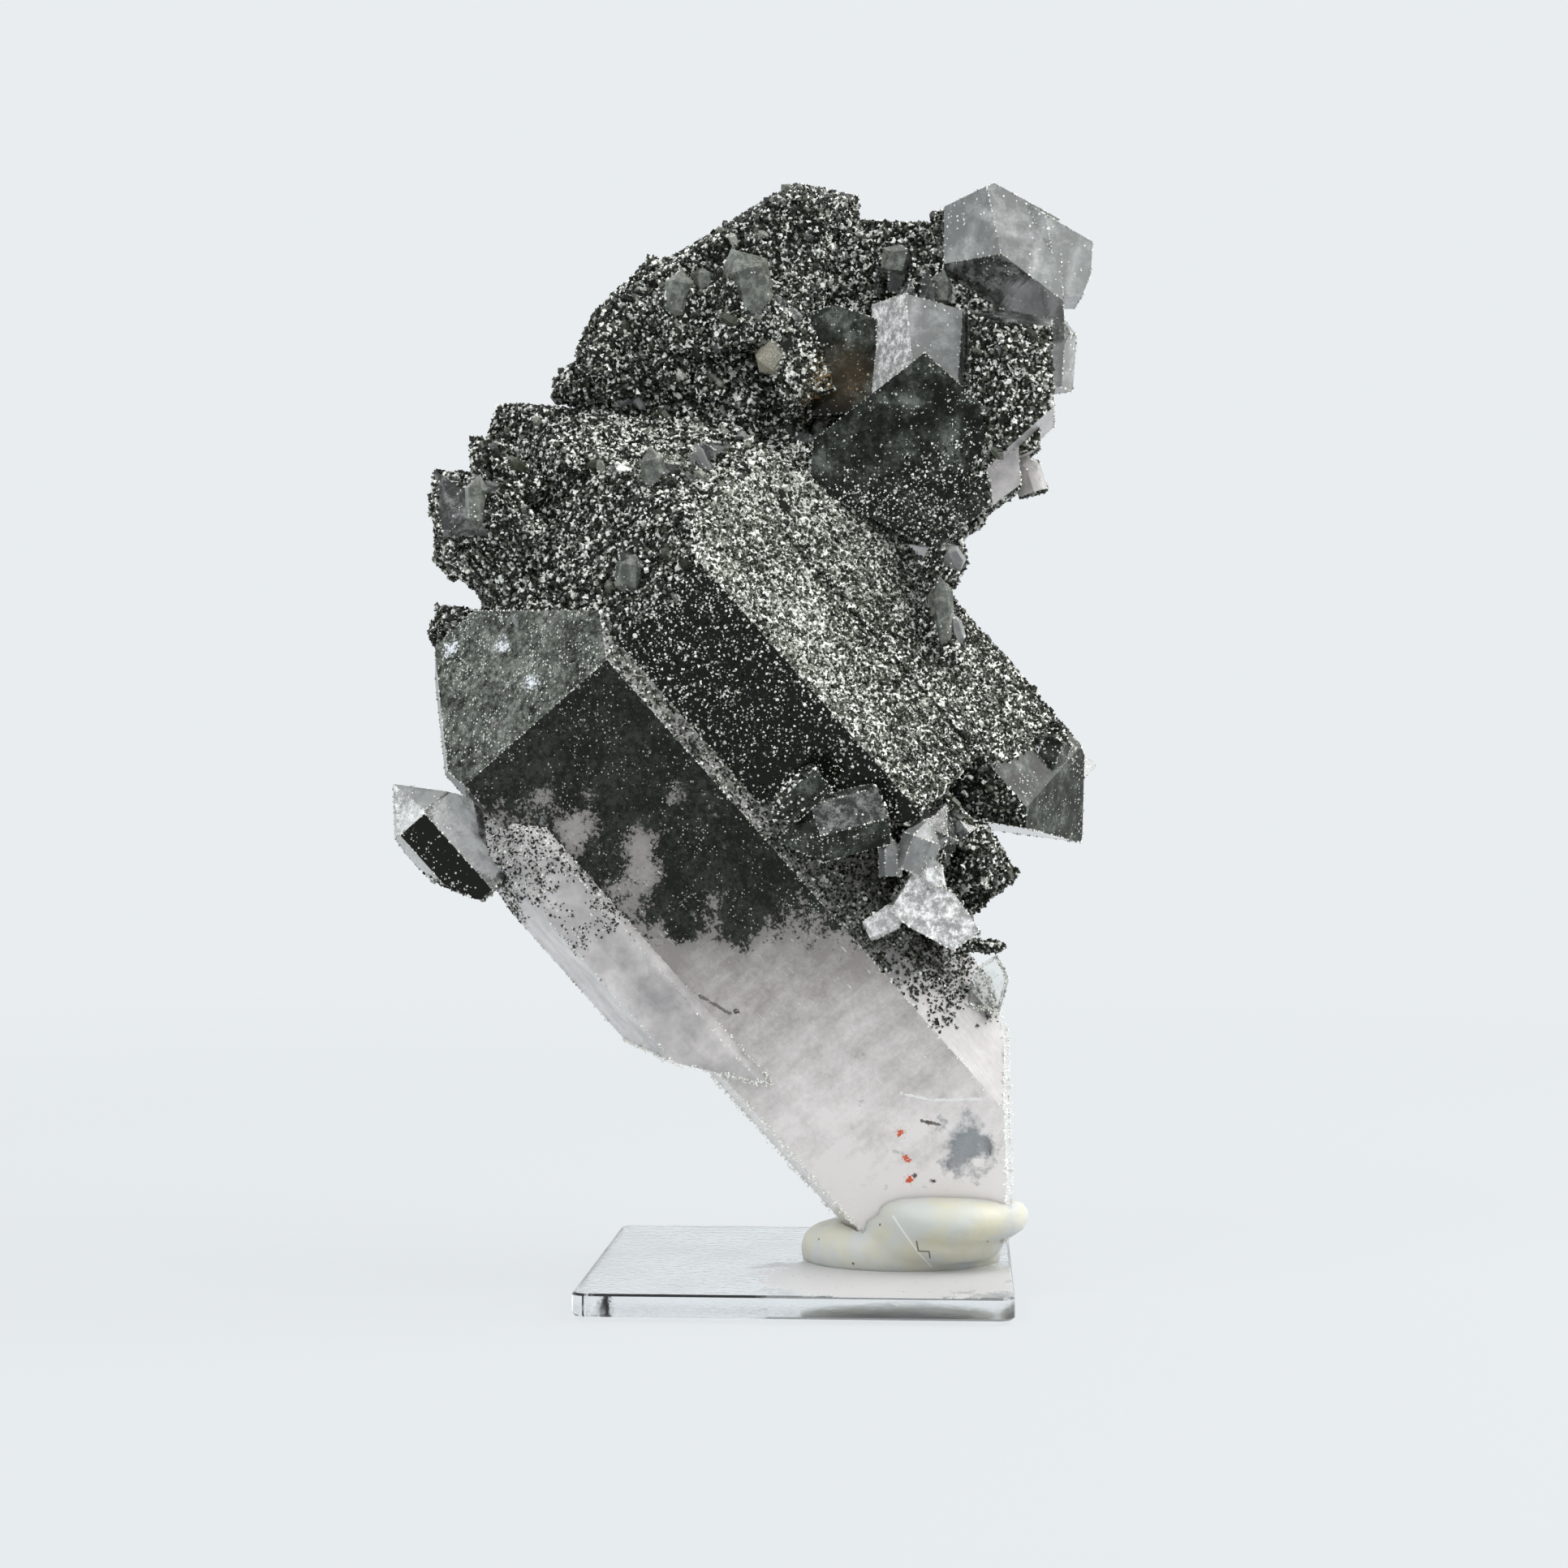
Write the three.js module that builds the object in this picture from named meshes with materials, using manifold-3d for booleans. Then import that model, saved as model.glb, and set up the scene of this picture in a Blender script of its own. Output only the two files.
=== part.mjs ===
// A chlorite-coated quartz crystal cluster, held by a lump of putty on a small clear acrylic stand.
// Millimetres, +Z up. The origin is the middle of the stand's underside, +X runs along its front
// edge and +Y towards its back. The cluster is one solid: crystals that grew together are joined.
// The cluster and its putty are measured in the viewer's own frame, X to the right and Y away, and
// stand a little turned on the square.

import * as THREE from "three";
import { ConvexGeometry } from "three/addons/geometries/ConvexGeometry.js";
import { mergeVertices } from "three/addons/utils/BufferGeometryUtils.js";
import Module from "manifold-3d";

const wasm = await Module();
wasm.setup();

// Stand: a square of clear acrylic sheet with eased corners and edges.
const STAND_SIDE = 38;
const STAND_THICKNESS = 2;
const STAND_CORNER = 1.2;
const STAND_BEVEL = 0.2;
const STAND_CORNER_STEPS = 6;
const STAND_MERGE = 1e-5;

// The cluster is set down a little turned and off centre.
const SPECIMEN_TURN = 3.5;
const SPECIMEN_SHIFT = -1.8;

// Clearance between the crystal's foot and the putty pressed round it.
const PUTTY_GAP = 0.3;

// Quartz habit: a cap face leans this far out from the crystal's own axis.
const CAP_LEAN = 38.2;

// The parallel crystals share this direction: lean to the right, nod to the front, and turn about
// their own axis. Sides 0 to 5 go round from the dark front face by way of the bright one on its right.
const GROWTH = { lean: -41.35, nod: 3, turn: -15 };

// Small crystals that stand out of the crust. Each side's distance varies by a share of the size,
// and a root this deep inside another body is skipped.
const SPROUT_SIZE = [0.6, 1.7];
const SPROUT_SHARE = [0.75, 1.25];
const SPROUT_RISE = [0.4, 1.2];
const SPROUT_LENGTH = 4;
const SPROUT_COVER = 0.3;
const SPROUT_SEED = 12;

// How far the small crystals' directions scatter, in degrees.
const PARALLEL_SCATTER = 6;
const UPPER_SCATTER = 14;
const UPPER_HEADING = { lean: -5, turn: 10 };

// Corners this close together are one corner.
const CORNER_MERGE = 0.02;
const CORNER_SLACK = 1e-4;
const NEARLY_PARALLEL = 1e-6;

const degrees = THREE.MathUtils.degToRad;
const vec = (x, y, z) => new THREE.Vector3(x, y, z);

// The directions of a crystal: along its axis to the tip, across it to the right, and to the front.
function directions({ lean = 0, nod = 0 }) {
  const along = vec(
    Math.sin(degrees(lean)) * Math.cos(degrees(nod)),
    -Math.sin(degrees(nod)),
    Math.cos(degrees(lean)) * Math.cos(degrees(nod)),
  );
  const across = along.clone().cross(vec(0, -1, 0)).normalize();
  const front = across.clone().cross(along);
  return { along, across, front };
}

// A plane through a point that keeps what lies behind its facing direction.
function planeThrough(point, facing) {
  const normal = facing.clone().normalize();
  return { normal, distance: normal.dot(point) };
}

// A crystal's faces: six sides at their distances from the axis through the tip, and six cap faces
// that would all meet at the tip but for their own shifts outward. The foot is a flat cut, and a
// second cap as well where footCaps are given. Broken faces are listed as cuts.
function crystalFaces(spec) {
  const { turn = 0, sides, caps = [], length, footCaps, cuts = [], smooth = [] } = spec;
  const { along, across, front } = directions(spec);
  const top = vec(...spec.tip);
  const bottom = top.clone().addScaledVector(along, -length);
  const spread = Math.cos(degrees(CAP_LEAN));
  const rise = Math.sin(degrees(CAP_LEAN));
  const planes = [];
  for (let side = 0; side < 6; side++) {
    const angle = degrees(turn + 60 * side);
    const outward = across.clone().multiplyScalar(Math.sin(angle));
    outward.addScaledVector(front, Math.cos(angle));
    const wall = planeThrough(top, outward);
    wall.distance += sides[side] ?? sides;
    wall.smooth = smooth.includes(side);
    planes.push(wall);
    const capFacing = outward.clone().multiplyScalar(spread).addScaledVector(along, rise);
    const cap = planeThrough(top, capFacing);
    cap.distance += caps[side] ?? 0;
    planes.push(cap);
    if (footCaps) {
      const underFacing = outward.clone().multiplyScalar(spread).addScaledVector(along, -rise);
      const under = planeThrough(bottom, underFacing);
      under.distance += footCaps[side];
      under.smooth = true;
      planes.push(under);
    }
  }
  const foot = planeThrough(bottom, along.clone().negate());
  foot.smooth = true;
  planes.push(foot);
  for (const { through, facing } of cuts) {
    const broken = planeThrough(vec(...through), vec(...facing));
    broken.smooth = true;
    planes.push(broken);
  }
  return planes;
}

// A lump with no habit of its own: each row is a point on a face and the direction it faces.
const lumpFaces = (rows) =>
  rows.map(([x, y, z, right, back, up]) => planeThrough(vec(x, y, z), vec(right, back, up)));

// The point where three planes meet, or nothing if they don't meet in one point.
function meeting(a, b, c) {
  const bc = b.normal.clone().cross(c.normal);
  const spread = a.normal.dot(bc);
  if (Math.abs(spread) < NEARLY_PARALLEL) return null;
  const ca = c.normal.clone().cross(a.normal);
  const ab = a.normal.clone().cross(b.normal);
  const point = bc.multiplyScalar(a.distance);
  point.addScaledVector(ca, b.distance);
  point.addScaledVector(ab, c.distance);
  return point.divideScalar(spread);
}

const isBehind = (planes, point, margin) =>
  planes.every(({ normal, distance }) => normal.dot(point) <= distance + margin);

// The closed skin behind all the planes: its corners are the meeting points that no plane cuts
// off, and each of its triangles lies on one plane.
function convexSkin(planes) {
  const corners = [];
  for (let i = 0; i < planes.length; i++) {
    for (let j = i + 1; j < planes.length; j++) {
      for (let k = j + 1; k < planes.length; k++) {
        const point = meeting(planes[i], planes[j], planes[k]);
        if (!point || !isBehind(planes, point, CORNER_SLACK)) continue;
        if (corners.some((corner) => corner.distanceTo(point) < CORNER_MERGE)) continue;
        corners.push(point);
      }
    }
  }
  const hull = new ConvexGeometry(corners);
  hull.deleteAttribute("normal");
  const { index, attributes } = mergeVertices(hull);
  const points = [];
  for (let i = 0; i < attributes.position.count; i++)
    points.push(vec(0, 0, 0).fromBufferAttribute(attributes.position, i));
  const triangles = [];
  for (let i = 0; i < index.count; i += 3) {
    const ring = [index.getX(i), index.getX(i + 1), index.getX(i + 2)];
    const triangle = new THREE.Triangle(...ring.map((number) => points[number]));
    const facing = triangle.getNormal(vec(0, 0, 0));
    const match = planes.map((plane) => plane.normal.dot(facing));
    triangles.push({ plane: planes[match.indexOf(Math.max(...match))], corners: ring });
  }
  return { corners: points, triangles };
}

function solidOf(positions, indices) {
  return new wasm.Manifold(
    new wasm.Mesh({
      numProp: 3,
      vertProperties: new Float32Array(positions),
      triVerts: new Uint32Array(indices),
    }),
  );
}

function convexSolid(planes) {
  const { corners, triangles } = convexSkin(planes);
  return solidOf(
    corners.flatMap((corner) => corner.toArray()),
    triangles.flatMap((triangle) => triangle.corners),
  );
}

// Large parallel crystals. Crust is the number of small crystals standing out of the rough faces.
const MAIN_CRYSTAL = {
  // broken away on the right, and its broken foot is sunk in the putty
  ...GROWTH,
  tip: [-30.3, 0, 59.8],
  sides: [9.1, 14.65, 14, 9, 4.1, 9.75],
  caps: [0, 8, 1.8, 0, 1.5, 1.75],
  length: 92,
  cuts: [
    { through: [0, 0, 4.6], facing: [0, 0, -1] },
    { through: [12, -9.2, 9.5], facing: [0, -0.75, -0.66] },
    { through: [19.9, -6, 12], facing: [1, -0.1, 0.02] },
    { through: [19, -6, 25.6], facing: [1, -0.1, 0.25] },
  ],
};

const PARALLEL_CRYSTALS = [
  {
    // host crystal: it stands behind the main one, and a huge cap face leads up to its tip
    ...GROWTH,
    tip: [-27.3, 7, 81.5],
    sides: [18.8, 17.4, 13.4, 4, 8, 16.9],
    caps: [-0.4, 0.6, 0, 1, 0, 2],
    length: 54,
    cuts: [{ through: [10.5, -12, 42.3], facing: [-0.15, 0, -1] }],
    smooth: [0, 1],
    crust: 76,
  },
  {
    // its twin on the right, which shares the wide bright face and ends in a clear point
    ...GROWTH,
    tip: [-7.5, 4.5, 77.5],
    sides: [9.4, 6.6, 7.1, 8, 8, 8],
    caps: [0, 0, 3, 0, 0, 0],
    length: 53,
    footCaps: [3, 0, 1, 0, 2, 3],
    cuts: [{ through: [22.7, -5, 41.6], facing: [-0.17, -0.05, -1] }],
    smooth: [0, 1],
    crust: 12,
  },
  {
    // crusted shoulder between the main crystal and the twin
    ...GROWTH,
    tip: [-6.9, 0, 65],
    sides: [6, 6, 1.5, 6, 5, 5],
    length: 39,
    crust: 14,
  },
  {
    // left stem, broken off below
    ...GROWTH,
    tip: [-28.7, -2.4, 45.3],
    sides: [4.9, 5.8, 6, 8, 9, 3.3],
    length: 42,
    cuts: [{ through: [-13.1, -5, 21.2], facing: [-0.21, 0, -0.98] }],
  },
  {
    // clear point at the head of the left stem
    ...GROWTH,
    tip: [-35.2, -5, 45.6],
    sides: [3.1, 2.9, 5, 3, 4.2, 2.9],
    length: 13,
    cuts: [{ through: [-32.6, -5, 37.6], facing: [-0.39, 0, -0.92] }],
  },
  // three points on the left edge
  { ...GROWTH, tip: [-32.4, 2, 74.7], sides: [4.4, 4.4, 5, 4, 4.2, 4.2], length: 17, crust: 16 },
  { ...GROWTH, tip: [-28.6, 0, 77.3], sides: 1.6, length: 8, crust: 2 },
  { ...GROWTH, tip: [-32.8, 8, 62.4], sides: [3, 3, 4, 4, 3.4, 3.4], length: 14, crust: 8 },
  // clear heads that stand a little out of the host's crusted cap
  { ...GROWTH, tip: [-12.6, -4.6, 74.8], sides: 2, length: 6 },
  { ...GROWTH, tip: [-28.8, -2.4, 73.4], sides: [1.8, 2.2, 2, 2, 2, 1.6], length: 8 },
  { ...GROWTH, tip: [-14.8, -7.4, 66.6], sides: 2.2, length: 6 },
  { ...GROWTH, tip: [-7.6, -1, 77], sides: [1.6, 1.8, 2, 2, 1.8, 1.6], length: 6 },
  { ...GROWTH, tip: [-22, 0.4, 77.6], sides: [2.4, 2, 2, 2, 2, 2.6], length: 7 },
  // two at the back
  { ...GROWTH, tip: [-24, 12, 73], sides: [6, 7, 7, 5, 6, 6], length: 42, crust: 18 },
  { ...GROWTH, tip: [-20, 7, 50], sides: 5, length: 36, crust: 8 },
];

// The upper crusted block: its right half is set back behind a hollow.
const UPPER_LUMPS = [
  {
    crust: 30,
    rows: [
      [0, 7, 85, 0.05, -1, 0.05],
      [3.4, 6, 100.6, 0.24, -0.3, 0.92],
      [1.4, 6, 100.6, -0.42, -0.1, 0.9],
      [17.8, 8, 90, 1, 0, 0.05],
      [21.5, 8, 76, 1, 0, 0.1],
      [15, 8, 67.7, 0.6, 0, -0.8],
      [-16, 6, 88, -1, 0, 0.3],
      [0, 14, 90, 0, 1, -0.05],
      [0, 12, 95, 0, 0.7, 0.7],
      [0, 6, 66, 0.2, 0, -1],
    ],
  },
  {
    crust: 44,
    rows: [
      [-8, 5.6, 80, 0, -1, -0.07],
      [-6.7, 6, 96.7, -0.5, -0.25, 0.84],
      [3.4, 6, 100.6, 0.24, -0.3, 0.92],
      [-17.2, 6, 90.2, -0.85, 0, 0.5],
      [-19.3, 6, 85, -1, 0, 0.02],
      [3, 6, 85, 1, -0.3, -0.1],
      [-8, 13, 90, -0.15, 1, 0.1],
      [-8, 6, 72, 0, 0, -1],
    ],
  },
  {
    // behind the clear crystals on the right
    crust: 10,
    rows: [
      [18, 3, 86, 0, -1, 0.1],
      [23.2, 5, 86, 1, 0.1, 0.03],
      [12, 5, 86, -1, 0, 0],
      [18, 5, 95, 0.1, -0.2, 1],
      [18, 12, 86, 0.1, 1, 0.1],
      [18, 5, 74.5, 0.4, 0, -1],
    ],
  },
];

// The clear crystals on the right of the block.
const CLEAR_LUMPS = [
  [
    // topmost one, with a wide bright face in front
    [18.7, 3, 100.9, -0.4, -0.1, 0.91],
    [18.7, 3, 100.9, 0.45, 0.1, 0.88],
    [14.9, 3, 98.3, -1, -0.1, 0.02],
    [22, -0.4, 95, 0.22, -0.95, 0.22],
    [18.2, 0.3, 97, -0.62, -0.78, 0.03],
    [20.8, -0.2, 92.6, -0.45, -0.6, -0.66],
    [25.6, 2, 95, 1, -0.1, 0.05],
    [20, 3, 87.6, -0.1, -0.2, -1],
    [20, 10, 95, 0.1, 1, 0.2],
  ],
  [
    // one below it, with a bright face and a white one on its left
    [13.5, 0.6, 87.5, 0.2, -0.95, 0.25],
    [10.6, 1.1, 87, -0.75, -0.65, 0.1],
    [10.6, 3, 90.3, 0.2, 0.3, 0.93],
    [8.2, 4, 87, -1, 0, 0],
    [16.9, 3, 87, 1, -0.3, 0],
    [12, 3, 81, 0, 0, -1],
    [12, 10, 86, 0, 1, 0],
  ],
  [
    // dark one in the hollow
    [5.5, 3.6, 86, -0.1, -1, 0.05],
    [4.8, 5, 90.3, -0.3, 0, 0.95],
    [4.8, 5, 90.3, 0.35, 0, 0.93],
    [2.5, 5, 86, -1, 0, 0],
    [8.6, 5, 86, 1, 0, 0],
    [5, 5, 80, 0, 0, -1],
    [5, 10, 86, 0, 1, 0],
  ],
  [
    // dark glossy face below the hollow
    [12.8, -3, 84.7, -0.1, -1, -0.25],
    [12.8, -2.7, 84.7, -0.53, 0.25, 0.8],
    [12.8, -2.7, 84.7, 0.62, 0.2, 0.72],
    [18.3, 0, 80, 1, -0.1, 0.05],
    [2.9, 3, 79, -1, 0, 0.1],
    [10, 8, 80, 0, 1, 0],
    [14.9, 2, 68.1, 0.6, 0, -0.8],
    [9.6, 0, 69.5, -0.45, -0.1, -0.9],
  ],
  [
    // milky underside on the right
    [18, 1.5, 73, 0.25, -1, -0.3],
    [21.7, 4, 76, 1, 0, 0.1],
    [20, 2, 78.5, 0, 0, 1],
    [14.9, 2, 68.1, 0.6, 0, -0.8],
    [14, 2, 72, -1, 0, 0],
    [18, 10, 74, 0, 1, 0],
  ],
  [
    // grey-green crystal broken off below on the right
    [24.7, 0, 84, 1, -0.1, 0.02],
    [24.4, 0, 79.6, 0.68, -0.1, -0.73],
    [22, -2, 87.6, 0.1, -0.35, 0.93],
    [22, -2.6, 84, 0.25, -1, -0.05],
    [18, -1.5, 84, -0.6, -0.8, 0],
    [17, 2, 84, -1, 0, 0],
    [20, 9, 84, 0, 1, 0],
  ],
  [
    // bright point on the right edge
    [28.3, 2, 95.9, 0.48, -0.15, 0.87],
    [28.5, 2, 94.5, 1, -0.1, -0.05],
    [28.3, 2, 92.6, 0.93, 0, -0.37],
    [27.6, 2, 90.6, 0.05, 0, -1],
    [26, 0.5, 93.5, 0.35, -0.93, 0.05],
    [24, 0.6, 92, -0.4, -0.9, -0.1],
    [22, 4, 92, -1, 0, 0],
    [26, 8, 94, 0, 1, 0],
  ],
];

const UPPER_CRYSTALS = [
  { tip: [-16.4, 6, 90.6], lean: -8, sides: 2.4, length: 9, crust: 2 },
  { tip: [-10, 4.8, 94.1], lean: -6, sides: 2.3, length: 8 },
  { tip: [-7.4, 5, 93.6], lean: -2, turn: 20, sides: 2.2, length: 8 },
  { tip: [-4.6, 4, 95.2], lean: -4, turn: 15, sides: 2.8, length: 9 },
  { tip: [-1.6, 3.2, 92.7], lean: -20, turn: 25, sides: 2.4, length: 12 },
  { tip: [10.8, 7, 96.6], lean: 5, turn: 10, sides: 1.7, length: 5 },
  // at the back
  { tip: [-8, 13, 92], lean: -10, nod: -15, sides: 5, length: 18, crust: 4 },
  { tip: [3, 15, 95], lean: 3, nod: -18, turn: 20, sides: [4, 5, 4.4, 5, 4, 4.6], length: 20, crust: 3 },
  { tip: [12, 15.5, 88], lean: 12, nod: -25, sides: 5, length: 18, crust: 4 },
  { tip: [-2, 15.5, 82], lean: -25, nod: -30, turn: 12, sides: 4.4, length: 14, crust: 3 },
];

// Small crystals and blades that sit on the large ones at the lower right.
const SMALL_CRYSTALS = [
  { tip: [-0.6, -12.5, 40.6], lean: -105, nod: 10, turn: 20, sides: 2.6, length: 9.5 },
  { tip: [-0.8, -14, 42.4], lean: -133, sides: [0.7, 1.2, 1.2, 0.7, 1.2, 1.2], length: 5.6 },
  { tip: [9.4, -10.5, 41], sides: 0.9, length: 3.5 },
  { tip: [12.8, -10.5, 42.6], lean: 20, sides: 1.5, length: 5 },
  { tip: [12.6, -11, 39.5], lean: -10, turn: 10, sides: 1, length: 3 },
  { tip: [14.5, -7.5, 43.8], lean: 25, sides: 2, length: 6 },
  { tip: [17.9, -4.5, 42.4], lean: 10, sides: 1.8, length: 6 },
  { tip: [20, -5.5, 30.9], lean: 92, sides: 0.45, length: 5 },
  { tip: [19.2, -4.5, 30.2], lean: 15, sides: [0.5, 1.4, 1.4, 0.5, 1.4, 1.4], length: 5 },
  { tip: [10.8, -11, 34.5], lean: 65, sides: [0.6, 1, 1, 0.6, 1, 1], length: 4 },
  { tip: [13.6, 0, 63.6], lean: -12, turn: 10, sides: 1.4, length: 7 },
  { tip: [25.6, 3, 51.6], lean: 20, sides: 1.6, length: 5 },
  { tip: [16.4, 1, 68.6], lean: 30, sides: 1.6, length: 5 },
  { tip: [26, 5, 89.4], lean: 4, sides: [2.4, 1.4, 1.2, 2.4, 3, 3], length: 7 },
];

const WHITE_FRAGMENT = [
  [12, -12, 34, 0.1, -1, 0.15],
  [9.3, -9, 34.5, -0.85, 0, 0.53],
  [12.2, -9, 37.6, 0.52, 0, 0.855],
  [15, -9, 35.9, 0.82, 0, 0.57],
  [14.8, -9, 31, 0.58, 0, -0.82],
  [14.8, -9, 31, -0.48, 0, -0.88],
  [9.3, -9, 34.5, -0.65, 0, -0.76],
  [12, -4, 34, 0, 1, 0],
];

// Numbers between 0 and 1 in a fixed order.
function fixedRandom(seed) {
  let state = seed;
  return () => {
    state = (state + 0x6d2b79f5) | 0;
    let mixed = Math.imul(state ^ (state >>> 15), 1 | state);
    mixed = (mixed + Math.imul(mixed ^ (mixed >>> 7), 61 | mixed)) ^ mixed;
    return ((mixed ^ (mixed >>> 14)) >>> 0) / 4294967296;
  };
}

const random = fixedRandom(SPROUT_SEED);
const between = ([low, high]) => low + (high - low) * random();

// A random point on the rough faces of a convex body, spread evenly by area.
function pointOn({ corners, triangles }) {
  const rough = triangles.filter(({ plane }) => !plane.smooth);
  const shapes = rough.map(({ corners: ring }) => new THREE.Triangle(...ring.map((i) => corners[i])));
  const areas = shapes.map((shape) => shape.getArea());
  let left = random() * areas.reduce((sum, area) => sum + area, 0);
  const chosen = Math.max(0, areas.findIndex((area) => (left -= area) < 0));
  const { a, b, c } = shapes[chosen];
  const root = Math.sqrt(random());
  const share = random();
  const point = vec(0, 0, 0);
  point.addScaledVector(a, 1 - root);
  point.addScaledVector(b, root * (1 - share));
  point.addScaledVector(c, root * share);
  return point;
}

// Small crystals standing out of a body's rough faces, wherever no other body covers them.
function sproutsOn(body, bodies) {
  const skin = convexSkin(body.planes);
  const sprouts = [];
  for (let count = 0; count < body.crust; count++) {
    const root = pointOn(skin);
    const size = between(SPROUT_SIZE);
    const sides = Array.from({ length: 6 }, () => size * between(SPROUT_SHARE));
    const spread = [-body.scatter, body.scatter];
    const { lean = 0, nod = 0, turn = 0 } = body.heading;
    const heading = {
      lean: lean + between(spread),
      nod: nod + between(spread),
      turn: turn + between(spread),
    };
    const tip = root.clone().addScaledVector(directions(heading).along, between(SPROUT_RISE)).toArray();
    const isCovered = (other) => other !== body && isBehind(other.planes, root, -SPROUT_COVER);
    if (bodies.some(isCovered)) continue;
    sprouts.push(crystalFaces({ ...heading, tip, sides, length: SPROUT_LENGTH }));
  }
  return sprouts;
}

const crystalBody = (spec) => ({
  planes: crystalFaces(spec),
  crust: spec.crust ?? 0,
  heading: spec,
  scatter: PARALLEL_SCATTER,
});

const lumpBody = ({ rows, crust = 0 }) => ({
  planes: lumpFaces(rows),
  crust,
  heading: UPPER_HEADING,
  scatter: UPPER_SCATTER,
});

const crystals = [MAIN_CRYSTAL, ...PARALLEL_CRYSTALS, ...UPPER_CRYSTALS, ...SMALL_CRYSTALS];
const clearLumps = [...CLEAR_LUMPS, WHITE_FRAGMENT].map((rows) => lumpBody({ rows }));
const bodies = [...crystals.map(crystalBody), ...UPPER_LUMPS.map(lumpBody), ...clearLumps];
const sprouts = bodies.flatMap((body) => sproutsOn(body, bodies));

const cluster = [...bodies.map((body) => body.planes), ...sprouts]
  .map(convexSolid)
  .reduce((whole, next) => whole.add(next));

// Putty: pressed lobes, as middle and half sizes, flat on the stand. The fuller a lobe's profile,
// the nearer it comes to a pill.
const PUTTY_LOBES = [
  { middle: [10.8, 0.4, 3], half: [9.3, 7.6, 2.7] },
  { middle: [13.6, -3, 4.9], half: [6.6, 5.6, 2.6] },
  { middle: [15.1, -4.5, 6.5], half: [6.7, 5.2, 2.1] },
  { middle: [20.7, -3.5, 6.5], half: [1.6, 1.8, 1.3] },
];
const LOBE_FULLNESS = 0.68;
const LOBE_RINGS = 10;
const LOBE_SEGMENTS = 24;

// A block below the stand's top, wide enough to trim the putty flat.
const TRIM_HALF = 40;
const TRIM_DEPTH = 10;

function lobe({ middle, half }) {
  const profile = [];
  for (let ring = 0; ring <= LOBE_RINGS; ring++) {
    const angle = Math.PI * (ring / LOBE_RINGS - 0.5);
    const out = ring % LOBE_RINGS === 0 ? 0 : Math.cos(angle) ** LOBE_FULLNESS;
    const up = Math.sign(angle) * Math.abs(Math.sin(angle)) ** LOBE_FULLNESS;
    profile.push(new THREE.Vector2(out, up));
  }
  const round = new THREE.LatheGeometry(profile, LOBE_SEGMENTS);
  round.rotateX(Math.PI / 2);
  round.scale(...half);
  round.translate(...middle);
  round.deleteAttribute("normal");
  round.deleteAttribute("uv");
  const closed = mergeVertices(round);
  return solidOf(closed.getAttribute("position").array, closed.index.array);
}

const grown = (planes, gap) =>
  planes.map(({ normal, distance }) => ({ normal, distance: distance + gap }));

const belowStandTop = convexSolid(
  lumpFaces([
    [0, 0, STAND_THICKNESS, 0, 0, 1],
    [0, 0, -TRIM_DEPTH, 0, 0, -1],
    [TRIM_HALF, 0, 0, 1, 0, 0],
    [-TRIM_HALF, 0, 0, -1, 0, 0],
    [0, TRIM_HALF, 0, 0, 1, 0],
    [0, -TRIM_HALF, 0, 0, -1, 0],
  ]),
);

const footOfMain = convexSolid(grown(crystalFaces(MAIN_CRYSTAL), PUTTY_GAP));
const putty = PUTTY_LOBES.map(lobe)
  .reduce((whole, next) => whole.add(next))
  .subtract(footOfMain)
  .subtract(belowStandTop);

// A three.js geometry of a solid's triangles.
function geometryOf(solid) {
  const { vertProperties, triVerts, numProp } = solid.getMesh();
  const geometry = new THREE.BufferGeometry();
  const corners = vertProperties.length / numProp;
  const positions = new Float32Array(corners * 3);
  for (let i = 0; i < corners; i++)
    positions.set(vertProperties.subarray(i * numProp, i * numProp + 3), i * 3);
  geometry.setAttribute("position", new THREE.BufferAttribute(positions, 3));
  geometry.setIndex(new THREE.BufferAttribute(new Uint32Array(triVerts), 1));
  return geometry;
}

// The stand's outline is drawn flat and raised to its thickness, with a small bevel all round.
function standGeometry() {
  const half = STAND_SIDE / 2 - STAND_BEVEL;
  const outline = new THREE.Shape();
  outline.absarc(half - STAND_CORNER, half - STAND_CORNER, STAND_CORNER, 0, Math.PI / 2);
  outline.absarc(STAND_CORNER - half, half - STAND_CORNER, STAND_CORNER, Math.PI / 2, Math.PI);
  outline.absarc(STAND_CORNER - half, STAND_CORNER - half, STAND_CORNER, Math.PI, 1.5 * Math.PI);
  outline.absarc(half - STAND_CORNER, STAND_CORNER - half, STAND_CORNER, 1.5 * Math.PI, 2 * Math.PI);
  const sheet = new THREE.ExtrudeGeometry(outline, {
    depth: STAND_THICKNESS - 2 * STAND_BEVEL,
    bevelThickness: STAND_BEVEL,
    bevelSize: STAND_BEVEL,
    bevelSegments: 1,
    curveSegments: STAND_CORNER_STEPS,
  });
  sheet.translate(0, 0, STAND_BEVEL);
  sheet.deleteAttribute("normal");
  sheet.deleteAttribute("uv");
  return mergeVertices(sheet, STAND_MERGE);
}

function piece(name, geometry, look) {
  const mesh = new THREE.Mesh(geometry, new THREE.MeshStandardMaterial({ metalness: 0, ...look }));
  mesh.name = name;
  return mesh;
}

const clusterPiece = piece("crystal_cluster", geometryOf(cluster), { color: 0x3c423c, roughness: 0.5 });
const puttyPiece = piece("mounting_putty", geometryOf(putty), { color: 0xdcd8bc, roughness: 0.6 });
const standPiece = piece("acrylic_stand", standGeometry(), { color: 0xdfe6ea, roughness: 0.1 });

const specimen = new THREE.Group();
specimen.rotation.z = degrees(SPECIMEN_TURN);
clusterPiece.position.x = SPECIMEN_SHIFT;
puttyPiece.position.x = SPECIMEN_SHIFT;
specimen.add(clusterPiece, puttyPiece);

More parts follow.
